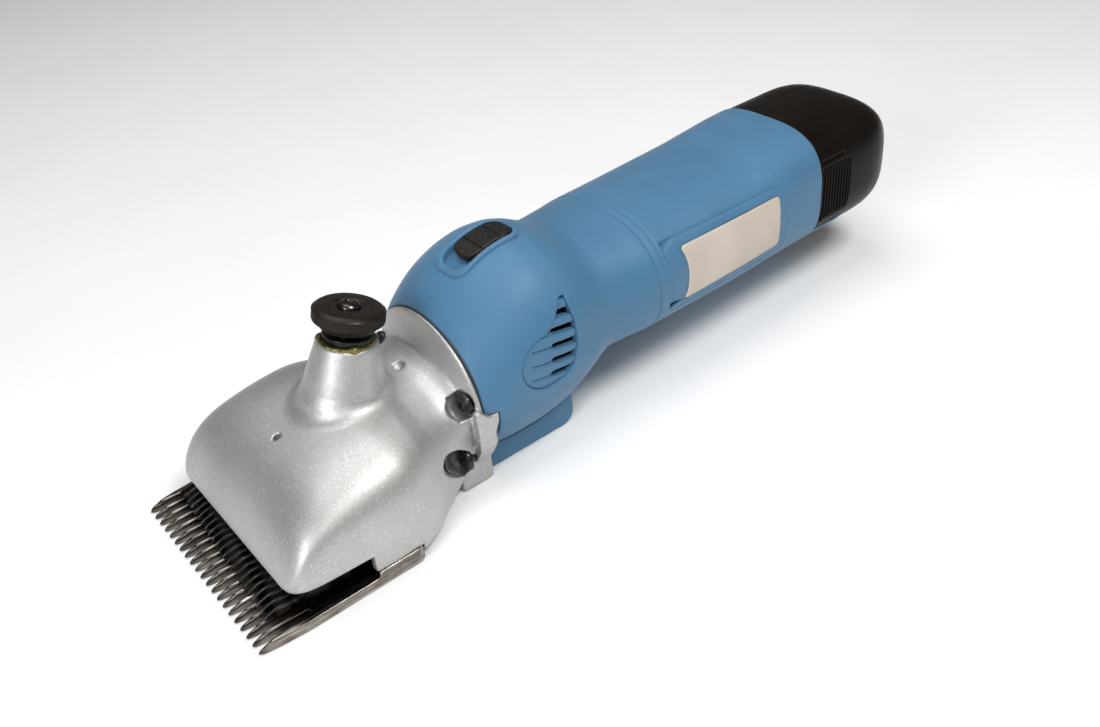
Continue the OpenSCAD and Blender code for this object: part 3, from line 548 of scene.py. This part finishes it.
M = {
    "silver": silver_paint(),
    "comb": blade_steel("comb_steel", -0.1435),
    "cutter": cutter_steel(),
    "blue": blue_plastic(),
    "label": label_vinyl(),
    "grease": grease(),
    "black_screw": plain("black_oxide_screw", (0.012, 0.012, 0.013), (0.03, 0.03, 0.031), (0.2, 0.36), 0.4, 300, 2200, 0.2, 0.00004),
    "knob": plain("black_oxide_knob", (0.010, 0.008, 0.006), (0.022, 0.016, 0.012), (0.26, 0.40), 0.15, 260, 2600, 0.2, 0.00004, spec=0.2),
    "pin_steel": plain("burnished_pin", (0.05, 0.046, 0.042), (0.12, 0.11, 0.10), (0.14, 0.3), 1.0, 500, 2600, 0.15, 0.00003),
    "washer": plain("oiled_washer", (0.008, 0.008, 0.006), (0.022, 0.02, 0.012), (0.2, 0.4), 0.5, 400, 2200, 0.2, 0.00004),
    "switch": plain("switch_plastic", (0.009, 0.008, 0.007), (0.016, 0.014, 0.012), (0.34, 0.50), 0.0, 200, 2400, 0.4, 0.00006, spec=0.26),
    "battery": plain("battery_plastic", (0.0045, 0.0034, 0.0026), (0.008, 0.0056, 0.004), (0.26, 0.38), 0.0, 60, 3000, 0.12, 0.00004, 0.0, spec=0.10),
    "button": plain("button_plastic", (0.004, 0.003, 0.0025), (0.007, 0.005, 0.004), (0.36, 0.48), 0.0, 90, 3000, 0.2, 0.00005, spec=0.09),
}
BY_SLOT = {
    "blade_steel": M["comb"], "cutter_steel": M["cutter"], "black_screw": M["black_screw"], "cast_silver": M["silver"],
    "gasket": plain("gasket_rubber", (0.010, 0.010, 0.011), (0.022, 0.022, 0.023), (0.55, 0.7), 0, 300, 1800, 0.3, 0.0001),
    "machined_steel": plain("machined_steel", (0.42, 0.42, 0.43), (0.60, 0.60, 0.60), (0.2, 0.36), 1.0, 300, 1800, 0.2, 0.00005),
    "black_steel": M["washer"], "knob_black": M["knob"],
    "gear_plastic": plain("nylon_gear", (0.62, 0.57, 0.43), (0.74, 0.70, 0.56), (0.42, 0.55), 0, 120, 1800, 0.15, 0.00005),
    "brass": plain("brass", (0.56, 0.40, 0.14), (0.72, 0.54, 0.24), (0.2, 0.34), 1.0, 240, 1800, 0.15, 0.00004),
    "bearing_steel": plain("bearing_steel", (0.52, 0.52, 0.54), (0.68, 0.68, 0.70), (0.12, 0.24), 1.0, 240, 2400, 0.1, 0.00003),
    "plate_metal": plain("diecast_plate", (0.26, 0.27, 0.28), (0.38, 0.39, 0.40), (0.4, 0.55), 0.9, 160, 1200, 0.3, 0.0001),
    "dark_plastic": plain("dark_plastic", (0.022, 0.024, 0.027), (0.042, 0.045, 0.050), (0.42, 0.56), 0, 140, 1800, 0.25, 0.00006),
    "laminations": plain("laminations", (0.16, 0.10, 0.06), (0.34, 0.24, 0.16), (0.35, 0.5), 0.8, 700, 1800, 0.3, 0.0001, stretch=(4, 0.3, 0.3)),
    "copper": plain("copper", (0.56, 0.27, 0.14), (0.75, 0.42, 0.24), (0.2, 0.34), 1.0, 240, 1800, 0.15, 0.00004),
    "motor_steel": plain("motor_can_steel", (0.40, 0.41, 0.42), (0.55, 0.56, 0.57), (0.26, 0.4), 1.0, 120, 1600, 0.15, 0.00005),
    "magnet": plain("ferrite", (0.04, 0.04, 0.045), (0.09, 0.09, 0.095), (0.5, 0.65), 0.2, 300, 1500, 0.4, 0.0001),
    "carbon": plain("carbon", (0.012, 0.012, 0.013), (0.03, 0.03, 0.032), (0.4, 0.6), 0.1, 300, 1500, 0.4, 0.0001),
    "blue_housing": M["blue"], "switch_black": M["switch"],
    "board_green": plain("board_laminate", (0.02, 0.14, 0.06), (0.04, 0.22, 0.10), (0.3, 0.42), 0, 300, 2200, 0.2, 0.00005),
    "wire": plain("wire_insulation", (0.30, 0.015, 0.012), (0.42, 0.03, 0.02), (0.35, 0.5), 0, 300, 2200, 0.1, 0.00004),
    "label": M["label"], "battery_black": M["battery"],
    "cell_wrap": plain("cell_wrap", (0.03, 0.17, 0.07), (0.06, 0.26, 0.12), (0.18, 0.3), 0, 100, 1500, 0.1, 0.00005, 0.4),
}
for name, o in NODES.items():
    o.data.materials.clear()
    o.data.materials.append(BY_SLOT[SLOT_OF[name]])

# ------------------------------------------------------------ head casting
TOWER_D = [-36, -26.5, -23, -19, -9.6, -8.6]
TOWER_R = [15.2, 13.6, 12.4, 11.6, 9.3, 9.05]


def f_head(x, y, z):
    b = loft(S_HEAD, x, y, z)
    inn = b + 3.0
    b = smax(b, 13.1 - x, 0.8)
    b = smax(b, x - 87.0, 0.35)
    d, r, e = knob(x, y, z)
    side = (r - np.interp(d, TOWER_D, TOWER_R)) * 0.97
    tower = smax(smax(side, d + 8.8, 1.1), -36 - d, 0.5)
    o = smin(b, tower, 3.4)
    o = smin(o, rbox(x, y, z, (78, -24.8, -3), (89.6, 24.8, 8.6), 0.9), 0.8)
    ay = np.abs(y)
    ear = polygon_sd([(83.5, 27.6), (85.4, 27.4), (87.3, 24.9), (89, 24.1), (91.6, 24.0), (91.3, 21.0), (89.8, 17.8), (89.6, 13.5),
                      (83.5, 13.5)], x, z)
    ear = smax(ear, np.abs(ay - 28.3) - 1.4, 0.7)
    web = polygon_sd([(26.9, 14.5), (29.7, 15.5), (29.3, 12.6), (26.9, 8.4), (24.7, 5.5), (23.8, 8.55)], ay, z)
    web = smax(web, np.abs(x - 86.55) - 3.05, 0.6)
    o = smin(o, smin(ear, web, 0.8), 0.8)
    # hollow for the fork, crank and spring gear
    inn = smax(inn, x - 81.5, 1.0)
    inn = smax(inn, 16.8 - x, 1.0)
    inn = smax(inn, 0.5 - z, 0.4)
    core = smax(side, -36 - d, 0.6)
    inn = cut(inn, core, 1.5)
    inn = cut(inn, cyl_x(x, ay, z, 6.6, 71, 90, 23, 28), 0.6)
    inn = cut(inn, cyl_x(x, ay, z, 6.4, 74, 90, 23.9, 8.8), 0.6)
    inn = cut(inn, rbox(x, ay, z, (49, -1, 2.05), (58, 36.9, 6.5), 0.4), 0.5)
    inn = cut(inn, smax(np.sqrt((x - 46) ** 2 + (ay - 20) ** 2) - 5.5, z - 15, 0.5), 0.5)
    o = cut(o, inn, 0.4)
    # lip, comb heel, cutter room
    o = cut(o, smax(x - 38.2, z - 8.0, 0.4), 0.7)
    o = cut(o, smax(x - 54.2, z - 2.02, 0.3), 0.3)
    o = cut(o, rbox(x, ay, z, (30, -40, -9), (39, 33, 12), 0.4), 0.4)
    # bores
    o = cut(o, smax(smax(r - 6.2, d + 6, 0.2), -40 - d, 0.2), 0.3)
    hole = np.sqrt((x - 34) ** 2 + y * y)
    o = cut(o, smax(hole - 1.25 - 0.10 * np.cos(z * 2 * math.pi / 0.7), 20 - z, 0.2), 0.35)
    o = cut(o, np.sqrt((x - 76.2) ** 2 + y * y + (z - 35.0) ** 2) - 2.15, 0.3)
    o = cut(o, cyl_x(x, ay, z, 4.5, 80.2, 84.62, 23, 28), 0.5)
    o = cut(o, cyl_x(x, ay, z, 1.95, 80, 93, 23, 28), 0.2)
    o = cut(o, cyl_x(x, ay, z, 4.5, 77.6, 81.22, 23.9, 8.8), 0.5)
    o = cut(o, cyl_x(x, ay, z, 1.95, 79, 87.5, 23.9, 8.8), 0.2)
    o = cut(o, slanted(x, ay, z, (78.6, 23.9, 8.8), 4.2, 12), 0.5)
    o = cut(o, slanted(x, ay, z, (82.4, 23.0, 28.0), 4.2, 12), 0.5)
    o = cut(o, cyl_x(x, y, z, 11.03, 83, 91, 0, 17), 0.2)
    o = cut(o, cyl_x(x, y, z, 9, 79, 84, 0, 17), 0.2)
    o = cut(o, rbox(x, ay, z, (82.5, -20, -2.4), (95, 19, 3.5), 0.3), 0.3)
    o = cut(o, np.maximum(np.sqrt((x - 53) ** 2 + y * y) - 3.02, z - 9), 0.2)
    return o


P, Q = skin(f_head, axis((12.4, 0.4), (40, 0.5), (70, 0.42), (82.4, 0.3), 92.6), axis((-40.4, 0.45), 40.4), axis((-3.9, 0.42), 54.6))
make("head_cover", P, Q, M["silver"], "housing", "head_casting")


# ------------------------------------------------------------ comb and cutter
def f_comb(x, y, z):
    ay = np.abs(y)
    yy = np.abs(y - 3.8 * np.clip(np.round(y / 3.8), -10, 10))
    hw = np.interp(x, [-1, 0, 0.7, 3.5, 17, 17.5, 18, 19], [0.05, 0.2, 0.42, 0.75, 1.05, 1.3, 2.3, 4.0])
    teeth = np.where(ay > 38.0, -1.0, yy - hw)
    wide = ay - np.interp(x, [0, 1.2, 6, 15, 52, 54], [37.9, 38.3, 39.0, 39.7, 39.7, 38.3])
    plan = smax(teeth, wide, 0.25)
    plan = smax(smax(plan, -x, 0.2), x - 54, 0.4)
    top = np.interp(x, [0, 0.8, 4.5], [-1.75, -1.1, 0.0]) + 2.0 / (1 + np.exp(-(x - 38.4) * 9))
    # the top of each tooth falls away to both sides near its tip
    fall = np.interp(x, [0, 2, 9], [1.3, 0.9, 0.12])
    top = top - np.where(ay > 38.0, 0.3, 1.0) * fall * np.minimum(yy, 1.1) * np.where(x < 18, 1, 0)
    bot = np.interp(x, [0, 3], [-2.75, -3.3])
    o = smax(smax(plan, (z - top) * 0.92, 0.28), bot - z, 0.25)
    c = np.sqrt((x - 46) ** 2 + (ay - 20) ** 2)
    o = cut(o, smax(c - 4.9, z + 0.4, 0.1), 0.2)
    return cut(o, c - 2.7, 0.2)


P, Q = skin(f_comb, axis((-0.3, 0.22), (5, 0.34), (19.5, 0.55), (37.6, 0.2), (39.4, 0.6), 54.4), axis((-40, 0.24), 40),
            axis((-3.55, 0.28), 2.3))
make("comb_plate", P, Q, M["comb"], "housing", "comb")

PARK = math.radians(3.5)


def f_cutter(x, y, z):
    X = 53 + (x - 53) * math.cos(PARK) - y * math.sin(PARK)
    Y = (x - 53) * math.sin(PARK) + y * math.cos(PARK)
    yy = np.abs(Y - 3.05 * np.clip(np.round(Y / 3.05), -11, 11))
    hw = np.interp(X, [7, 8, 8.8, 20, 20.5, 21, 22], [0.1, 0.28, 0.5, 1.02, 1.2, 2, 3])
    plan = smax(smax(yy - hw, np.abs(Y) - 34.35, 0.15), 8 - X, 0.2)
    plan = smax(plan, X - 34.5, 0.3)
    top = np.interp(X, [8, 9, 12], [1.0, 1.7, 2.6]) - 0.35 * np.minimum(yy, 1.0) * np.where(X < 20, 1, 0)
    o = smax(smax(plan, z - top, 0.25), 0.02 - z, 0.12)
    bar = rbox(X, Y, z, (21.5, -32, 1.5), (34.5, 32, 5.0), 0.45)
    o = smin(o, bar, 0.35)
    for s in (-1, 1):
        o = cut(o, smax(np.sqrt((X - 27) ** 2 + (Y - 13 * s) ** 2) - 2.3, 2.9 - z, 0.1), 0.15)
    return o


P, Q = skin(f_cutter, axis((5.5, 0.3), (24, 0.55), 37), axis((-36.5, 0.24), 36.5), axis((-0.1, 0.24), 5.3))
make("cutter_blade", P, Q, M["cutter"], "fork", "cutter")


# ------------------------------------------------------------ housing
TEAR = [(111.5 + 10.735 * math.cos(math.radians(-90 - 12 * i)), 33.5 + 9 * math.sin(math.radians(-90 - 12 * i))) for i in range(16)] + [
    (116.5, 46.2), (120.2, 50.4), (122, 50.2), (122.9, 42), (122.4, 33.5), (120, 27.2), (116.5, 25.0)]
PANEL = (192.2, 36.8, 28.4, 12.3)


def f_house(x, y, z):
    b0 = loft(S_BODY, x, y, z)
    ay = np.abs(y)
    b = b0 + 0.5 * np.exp(-((x - 158.8) / 0.5) ** 2) + 0.16 * np.exp(-((x - 161.9) / 0.4) ** 2)
    # panel line on both sides
    pl = rrect(x - PANEL[0], z - PANEL[1], PANEL[2], PANEL[3], 2.0)
    b = b + 0.30 * np.exp(-(pl / 0.36) ** 2) * (ay > 15)
    body = smax(smax(b, 87.6 - x, 0.3), x - 240.2, 0.6)
    rho, s = track(x, z)
    bez = smax(rrect(s - deg(103.25), y, 13.2, 7.5, 4.6), rho - (SWR + 0.9), 0.7)
    bez = smax(bez, 28 - rho, 0.2)
    o = smin(body, bez, 0.35)
    inn = b0 + 3.2
    # tongue under the pack
    ton = smax(smax(smax(b0, ay - 26, 1.2), smax(x - 256, 239.5 - x, 0.3), 1.0), z - 22, 0.6)
    o = smin(o, ton, 0.25)
    o = cut(o, inn, 0.4)
    rec = smax(rrect(s - deg(102.1), y, 11.75, 5.9, 4.4), (SWR - 1.9) - rho, 0.35)
    o = cut(o, rec, 0.35)
    o = cut(o, smax(rrect(s - deg(100), y, 4.9, 2.5, 0.5), 26 - rho, 0.1), 0.2)
    # vents, panel notches, label seat
    td = polygon_sd(TEAR, x, z)
    o = cut(o, smax(td, 24 - ay, 0.2), 0.4)
    for z0, z1 in ((46.9, 49.9), (25.7, 28.5)):
        tri = polygon_sd([(163.4, z0), (168.6, (z0 + z1) / 2 + 0.6), (166.2, z1), (163.2, z1)], x, z)
        o = cut(o, smax(tri, 24 - ay, 0.1), 0.2)
    seat = smax(rrect(x - 193.75, z - 36.7, 24.05, 9.8, 0.6), -(b0 + 0.36), 0.1)
    o = cut(o, smax(seat, y, 0.1), 0.12)
    # relief round the head's block and ears
    o = cut(o, rbox(x, y, z, (80, -24.9, -6), (89.65, 24.9, 8.7), 0.1), 0.15)
    o = cut(o, rbox(x, ay, z, (80, 26.8, 13.4), (91.9, 33, 24.2), 0.1), 0.15)
    return o


HX = axis((87.0, 0.42), (124, 0.8), (157, 0.34), (168.4, 1.3), (218.6, 0.4), (222.4, 1.3), (238, 0.45), 256.8)
HZ = axis((-2.6, 0.46), 65.3)
for side, body_half in ((1, "housing_left"), (-1, "housing_right")):
    Y = axis((-0.35, 0.3), (1.2, 0.46), 32.7)
    Y = Y if side > 0 else -Y[::-1]
    P, Q = skin(lambda x, y, z: smax(f_house(x, y, z), 0.05 - side * y, 0.3), HX, Y, HZ)
    make("shell_left" if side > 0 else "shell_right", P, Q, M["blue"], "housing", body_half)


def f_foot(x, y, z):
    ay = np.abs(y)
    a = rbox(x, ay, z, (89.8, -30, -3.3), (121, 21.3, 9), 1.0)
    a = smin(a, rbox(x, ay, z, (100, -30, 1.5), (125.8, 21.3, 9), 1.0), 0.5)
    rear = smax(np.sqrt((x - 121) ** 2 + (z - 1.5) ** 2) - 4.8, ay - 21.3, 1.2)
    o = smin(a, rear, 0.5)
    b0 = loft(S_BODY, x, y, z)
    return cut(o, b0 - 0.03, 0.25)


P, Q = skin(f_foot, axis((89.2, 0.5), 126.4), axis((-22, 0.5), 22), axis((-3.8, 0.45), 9.6))
make("foot_block", P, Q, M["blue"], "housing", "rest_foot")


def f_vent(side):
    def f(x, y, z):
        b0 = loft(S_BODY, x, y, z)
        td = polygon_sd(TEAR, x, z)
        # stepped louvres: each slat leans in towards its lower edge
        ph = ((z + 0.18 * (x - 111) - 27.6) / 4.7) % 1.0
        rel = 0.5 + 0.9 * np.clip(1 - ph * 1.15, 0, 1) * np.clip((x - 103) / 10, 0, 1)
        o = smax(b0 + rel, -(b0 + 3.0), 0.2)
        o = smax(o, td + 0.12, 0.3)
        o = smax(o, 20 - side * y, 0.1)
        for i in range(5):
            zc = 28.4 + 4.7 * i - 0.18 * (x - 111)
            x0 = 111.3 + (0.9 * i if i < 4 else 3.0)
            slot = smax(np.abs(z - zc - 0.2) - np.interp(x, [x0, x0 + 1.2, 122], [0.75, 1.05, 1.25]), x0 - x, 0.15)
            line = smax(np.abs(z - zc) - 0.16, x0 - 7.5 - x, 0.1)
            line = smax(line, -(b0 + rel + 1.1), 0.1)
            o = cut(cut(o, slot, 0.15), line, 0.15)
        return o
    return f


for side, n in ((1, "vent_grille_left"), (-1, "vent_grille_right")):
    Y = axis((24, 0.3), 32.4)
    Y = Y if side > 0 else -Y[::-1]
    P, Q = skin(f_vent(side), axis((100.2, 0.3), 123.4), Y, axis((23.8, 0.24), 51))
    make("louvres_left" if side > 0 else "louvres_right", P, Q, M["blue"], "housing", n)


def f_slider(x, y, z):
    rho, s = track(x, z)
    top = SWR + 1.1
    c = deg(98.55)
    o = smax(rrect(s - c, y, 9.05, 5.4, 4.2), rho - top, 0.7)
    o = smax(o, (SWR - 1.6) - rho, 0.3)
    for a in (92.5, 104.5):
        o = smax(o, -(smax(np.abs(s - deg(a)) - 0.22, (top - 0.35) - rho, 0.1)), 0.2)
    for a in (86.9, 98.5, 110.1):
        for w, k in ((-1.5, -0.5), (1.5, -0.5), (0, 0.9)):
            sp = np.sqrt((s - deg(a) - k) ** 2 + (y - w) ** 2 + (rho - top) ** 2) - 0.48
            o = smin(o, sp, 0.12)
    stem = smax(rrect(s - deg(96.5), y, 1.75, 2.0, 0.3), smax(rho - (SWR - 1.4), (SWR - 5.2) - rho, 0.1), 0.2)
    return smin(o, stem, 0.2)


P, Q = skin(f_slider, axis((101, 0.22), 123.5), axis((-5.9, 0.22), 5.9), axis((57.2, 0.22), 65.8))
make("switch_cap", P, Q, M["switch"], "switch", "switch_slider")


# blank label: a thin curved sheet with a slightly hollow left edge
def label_mesh():
    nx, nz = 60, 26
    out = []
    for off in (0.0, 0.3):
        for i in range(nx + 1):
            for j in range(nz + 1):
                u, v = i / nx, j / nz
                z = 27.1 + 19.2 * v
                left = 170.2 + 1.5 * (1 - (2 * v - 1) ** 2)
                x = left + (217.4 - left) * u
                # rounded corners
                cx, cz = min(x - left, 217.4 - x), min(z - 27.1, 46.3 - z)
                if cx < 1.3 and cz < 1.3:
                    k = max(0.0, 1.3 - math.sqrt(max(0.0, 1.3**2 - (1.3 - cx) ** 2)))
                    z = z + (k - cz if z < 36 else cz - k) if cz < k else z
                out.append([x, z, off])
    A = np.array(out)
    a, zt, zm, zb, n, m = S_BODY.at(A[:, 0])
    up = A[:, 1] >= zm
    w = np.abs(A[:, 1] - zm) / np.where(up, zt - zm, zm - zb)
    e = np.where(up, n, m)
    y = -a * (1 - w**e) ** (1 / e)
    P = np.stack([A[:, 0], y + 0.03 + A[:, 2], A[:, 1]], 1)
    F, L = [], (nx + 1) * (nz + 1)
    g = lambda i, j, k: k * L + i * (nz + 1) + j
    for i in range(nx):
        for j in range(nz):
            F.append([g(i, j, 0), g(i + 1, j, 0), g(i + 1, j + 1, 0), g(i, j + 1, 0)])
            F.append([g(i, j, 1), g(i, j + 1, 1), g(i + 1, j + 1, 1), g(i + 1, j, 1)])
    for i in range(nx):
        F.append([g(i, 0, 1), g(i + 1, 0, 1), g(i + 1, 0, 0), g(i, 0, 0)])
        F.append([g(i, nz, 0), g(i + 1, nz, 0), g(i + 1, nz, 1), g(i, nz, 1)])
    for j in range(nz):
        F.append([g(0, j, 0), g(0, j + 1, 0), g(0, j + 1, 1), g(0, j, 1)])
        F.append([g(nx, j, 1), g(nx, j + 1, 1), g(nx, j + 1, 0), g(nx, j, 0)])
    return P, np.array(F)


P, Q = label_mesh()
make("blank_label", P, Q, M["label"], "housing", "side_label")


# ------------------------------------------------------------ battery pack
def f_case(x, y, z):
    xx = np.minimum(x, 262.0)
    inset = S_PACK.at(x)[0]
    b0 = loft(S_BODY, xx, y, z)
    b = b0 + inset
    ay = np.abs(y)
    for yc in (7.5, 17.0):
        b = b + 0.16 * np.exp(-((ay - yc) / 0.5) ** 2) * (z > 48) * np.interp(x, [241, 244, 272, 280], [0, 1, 1, 0])
    o = smax(smax(b, 240.3 - x, 0.5), x - 287, 1.0)
    # line over the release button
    o = cut(o, smax(smax(np.abs(z - 48.6) - 0.35, np.abs(x - 247.5) - 6.5, 0.2), 25.4 - ay, 0.2), 0.25)
    o = cut(o, smax(smax(smax(ay - 26.4, x - 256.4, 0.2), z - 22.4, 0.2), -(b0 + 3.6), 0.2), 0.3)
    o = cut(o, smax(rrect(y, z - 35.9, 16.65, 16.65, 7.75), x - 272, 0.3), 0.3)
    return cut(o, rbox(x, ay, z, (241.4, 19.6, 25.6), (256.2, 34, 46.4), 0.6), 0.35)


P, Q = skin(f_case, axis((239.8, 0.45), (257, 0.6), (276, 0.42), 287.4), axis((-28, 0.5), 28), axis((13.6, 0.5), 60.6))
make("pack_case", P, Q, M["battery"], "battery", "battery_case")


def f_button(side):
    def f(x, y, z):
        sy = side * y
        face = 26.75 + 0.42 * np.clip(np.cos((x - 242.9) * 2 * math.pi / 1.55) * 1.6, -0.6, 1) * (np.abs(z - 36) < 9)
        o = smax(smax(rrect(x - 248.8, z - 36, 7.15, 10.2, 0.9), sy - face, 0.35), 23.2 - sy, 0.2)
        return cut(o, smax(np.sqrt((x - 248.8) ** 2 + (z - 36) ** 2) - 3.4, sy - 25.45, 0.1), 0.15)
    return f


for side, b, n in ((1, "button_left", "release_button_left"), (-1, "button_right", "release_button_right")):
    Y = axis((22.9, 0.22), 27.5)
    Y = Y if side > 0 else -Y[::-1]
    P, Q = skin(f_button(side), axis((241.2, 0.2), 256.4), Y, axis((25.3, 0.5), 46.7))
    make("pack_button_left" if side > 0 else "pack_button_right", P, Q, M["button"], b, n)


# ------------------------------------------------------------ screws
def f_screw(length):
    def f(x, y, z):
        r = np.sqrt(y * y + z * z)
        head = smax(smax(r - 3.9, -(x + 2.5) + 0.0, 0.05), x, 0.3)
        dome = np.sqrt(r * r + (x - 3.3) ** 2) - 5.95
        head = smax(head, dome, 0.25)
        shank = smax(r - 1.9, np.abs(x - length / 2 + 0.2) - length / 2, 0.3)
        o = smin(head, shank, 0.15)
        w = np.interp(x, [-2.5, -1.2], [0.62, 0.28])
        a, b = np.abs(y * 0.87 + z * 0.5), np.abs(-y * 0.5 + z * 0.87)
        cross = np.minimum(np.maximum(a - w, b - 2.15 + (x + 2.5) * 0.5), np.maximum(b - w, a - 2.15 + (x + 2.5) * 0.5))
        return cut(o, smax(cross, x + 1.15, 0.1), 0.12)
    return f


parts, faces, base = [], [], 0
for length, yy, xx, zz in ((17, 23, 84.6, 28), (5.6, 23.9, 81.2, 8.8)):
    P, Q = skin(f_screw(length), axis((-2.9, 0.16), (0.4, 0.7), length + 0.6), axis((-4.2, 0.16), 4.2), axis((-4.2, 0.16), 4.2))
    for s in (-1, 1):
        parts.append(P + np.array([xx, s * yy, zz]))
        faces.append(Q + base)
        base += len(P)
make("flange_screw_set", np.concatenate(parts), np.concatenate(faces), M["black_screw"], "housing", "flange_screws")

# ------------------------------------------------------------ tension gear
KN = 60


def knurl(r, d, t, i):
    if r < 10.25 or not -2.35 < d < 0.75:
        return r
    a = abs(((t * KN / (2 * math.pi) + d * 0.62) % 1) - 0.5) * 2
    b = abs(((t * KN / (2 * math.pi) - d * 0.62) % 1) - 0.5) * 2
    return r - 0.42 * (1 - min(a, 0.75) / 0.75) ** 1 * 0.5 - 0.42 * (1 - min(b, 0.75) / 0.75) * 0.5


prof = arc_round([(3.46, -5.3), (6.2, -5.3), (6.2, -4.5), (8.4, -4.5), (9.0, -3.6), (10.3, -2.5), (10.75, -2.1)], 0.2)
prof = prof[: -2] + [(10.72, -2.2 + 3.0 * i / 14) for i in range(15)] + arc_round(
    [(10.72, 0.82), (10.2, 1.25), (9.3, 1.85), (5.3, 2.05), (4.9, 1.75), (4.4, 1.75), (3.46, 1.6), (3.46, -5.0)], 0.12)[2:-2]
P, Q = lathe(prof, KN * (8), knurl)
make("tension_knob", on_knob(P), Q, M["knob"], "tension_nut", "tension_nut")


def revolve(name, pts, mat, body, node, n=96, r=0.15):
    """Closed turned part, solid on the axis where its profile starts at r = 0."""
    solid = pts[0][0] == 0
    if solid:
        inner = [(0.02, pts[0][1])] + list(pts[1:-1]) + [(0.02, pts[-1][1])]
        pr = [inner[0]] + arc_round(inner, r)[5:-5] + [inner[-1]]
    else:
        pr = arc_round(pts, r)
    P, Q = lathe(pr, n)
    return make(name, on_knob(P), Q, mat, body, node)


revolve("knob_washer", [(3.48, -8.78), (7.4, -8.78), (7.4, -6.48), (3.48, -6.48)], M["washer"], "housing", "tension_washer", 120, 0.35)
revolve("screw_sleeve", [(4.9, -22.0), (6.12, -22.0), (6.12, -10.2), (3.4, -10.2), (3.4, 1.5), (3.25, 2.3), (2.75, 2.85), (2.2, 3.05),
                         (1.5, 3.05), (1.3, 2.75), (0.05, 2.7), (0.05, -11.0), (4.9, -11.0)],
        M["pin_steel"], "tension_sleeve", "tension_sleeve", 96, 0.12)


# oil and grease squeezed out round the tower's rim
def f_grease(x, y, z):
    d, r, e = knob(x, y, z)
    t = np.arctan2(y, e)
    fat = 0.42 + 0.30 * np.sin(3 * t + 0.6) + 0.22 * np.sin(7 * t + 2.0) + 0.14 * np.sin(13 * t)
    rr = 8.35 + 0.5 * np.sin(2 * t + 1)
    drip = 0.6 * np.maximum(0, np.sin(5 * t + 1.2)) ** 4
    q = np.sqrt((r - rr) ** 2 + ((d + 8.75 + drip) * 1.0) ** 2) - np.maximum(fat, 0.16) - 0.15
    return smin(q, np.sqrt((r - rr + 0.6) ** 2 + (d + 8.7) ** 2) - 0.35, 0.5)


P, Q = skin(f_grease, axis((51.5, 0.28), 73.2), axis((-10.5, 0.28), 10.5), axis((47.2, 0.26), 55.6))
make("grease_ring", P, Q, M["grease"], "housing", slot="gasket")

# ------------------------------------------------------------ camera, floor, light
cam = bpy.data.cameras.new("camera")
cam.sensor_width = 36
cam.lens = 35.345
cam.clip_start, cam.clip_end = 0.01, 20
co = bpy.data.objects.new("camera", cam)
bpy.context.scene.collection.objects.link(co)
right, upv = Vector((0.77402481, -0.62707698, -0.08752174)), Vector((0.42715916, 0.41515052, 0.80323415))
back = Vector((-0.46735495, -0.65910888, 0.58919848))
co.matrix_world = Matrix(((right.x, upv.x, back.x, -0.185329), (right.y, upv.y, back.y, -0.246676),
                          (right.z, upv.z, back.z, 0.228853), (0, 0, 0, 1)))
bpy.context.scene.camera = co

fm, ft, fb = nodes_of("floor_paper")
ft.links.new(ramp(ft, noise(ft, 12, 3), [(0.3, (0.86, 0.86, 0.86)), (0.7, (0.885, 0.885, 0.885))]), fb.inputs["Base Color"])
fb.inputs["Roughness"].default_value = 0.85
fme = bpy.data.meshes.new("floor")
fme.from_pydata([(-4, -4, 0), (4, -4, 0), (4, 4, 0), (-4, 4, 0)], [], [(0, 1, 2, 3)])
fme.materials.append(fm)
floor = bpy.data.objects.new("floor", fme)
bpy.context.scene.collection.objects.link(floor)

world = bpy.data.worlds.new("studio")
world.use_nodes = True
world.node_tree.nodes["Background"].inputs[0].default_value = (1.0, 0.99, 0.975, 1)
world.node_tree.nodes["Background"].inputs[1].default_value = 0.14
bpy.context.scene.world = world


def area(name, loc, target, size, power, color=(1, 1, 1), size_y=None):
    l = bpy.data.lights.new(name, "AREA")
    l.energy, l.size, l.color = power, size, color
    if size_y:
        l.shape, l.size_y = "RECTANGLE", size_y
    o = bpy.data.objects.new(name, l)
    bpy.context.scene.collection.objects.link(o)
    o.location = loc
    o.rotation_euler = (Vector(target) - Vector(loc)).to_track_quat("-Z", "Y").to_euler()
    return o


area("shoulder_soft", (0.12, -0.34, 0.66), (-0.03, 0, 0.02), 0.24, 3.3, (1.0, 0.985, 0.965))
area("front_soft", (-0.80, -0.26, 0.40), (-0.05, 0, 0.02), 0.34, 3.9, (0.93, 0.96, 1.0))
area("camera_fill", (-0.25, -0.36, 0.36), (0, 0, 0.03), 0.22, 0.35, (1.0, 0.99, 0.97))
area("top_soft", (0.0, 0.25, 0.95), (0, 0, 0.03), 0.7, 4.6, (0.98, 0.98, 1.0))

sc = bpy.context.scene
sc.view_settings.view_transform = "Standard"
sc.view_settings.look = "None"
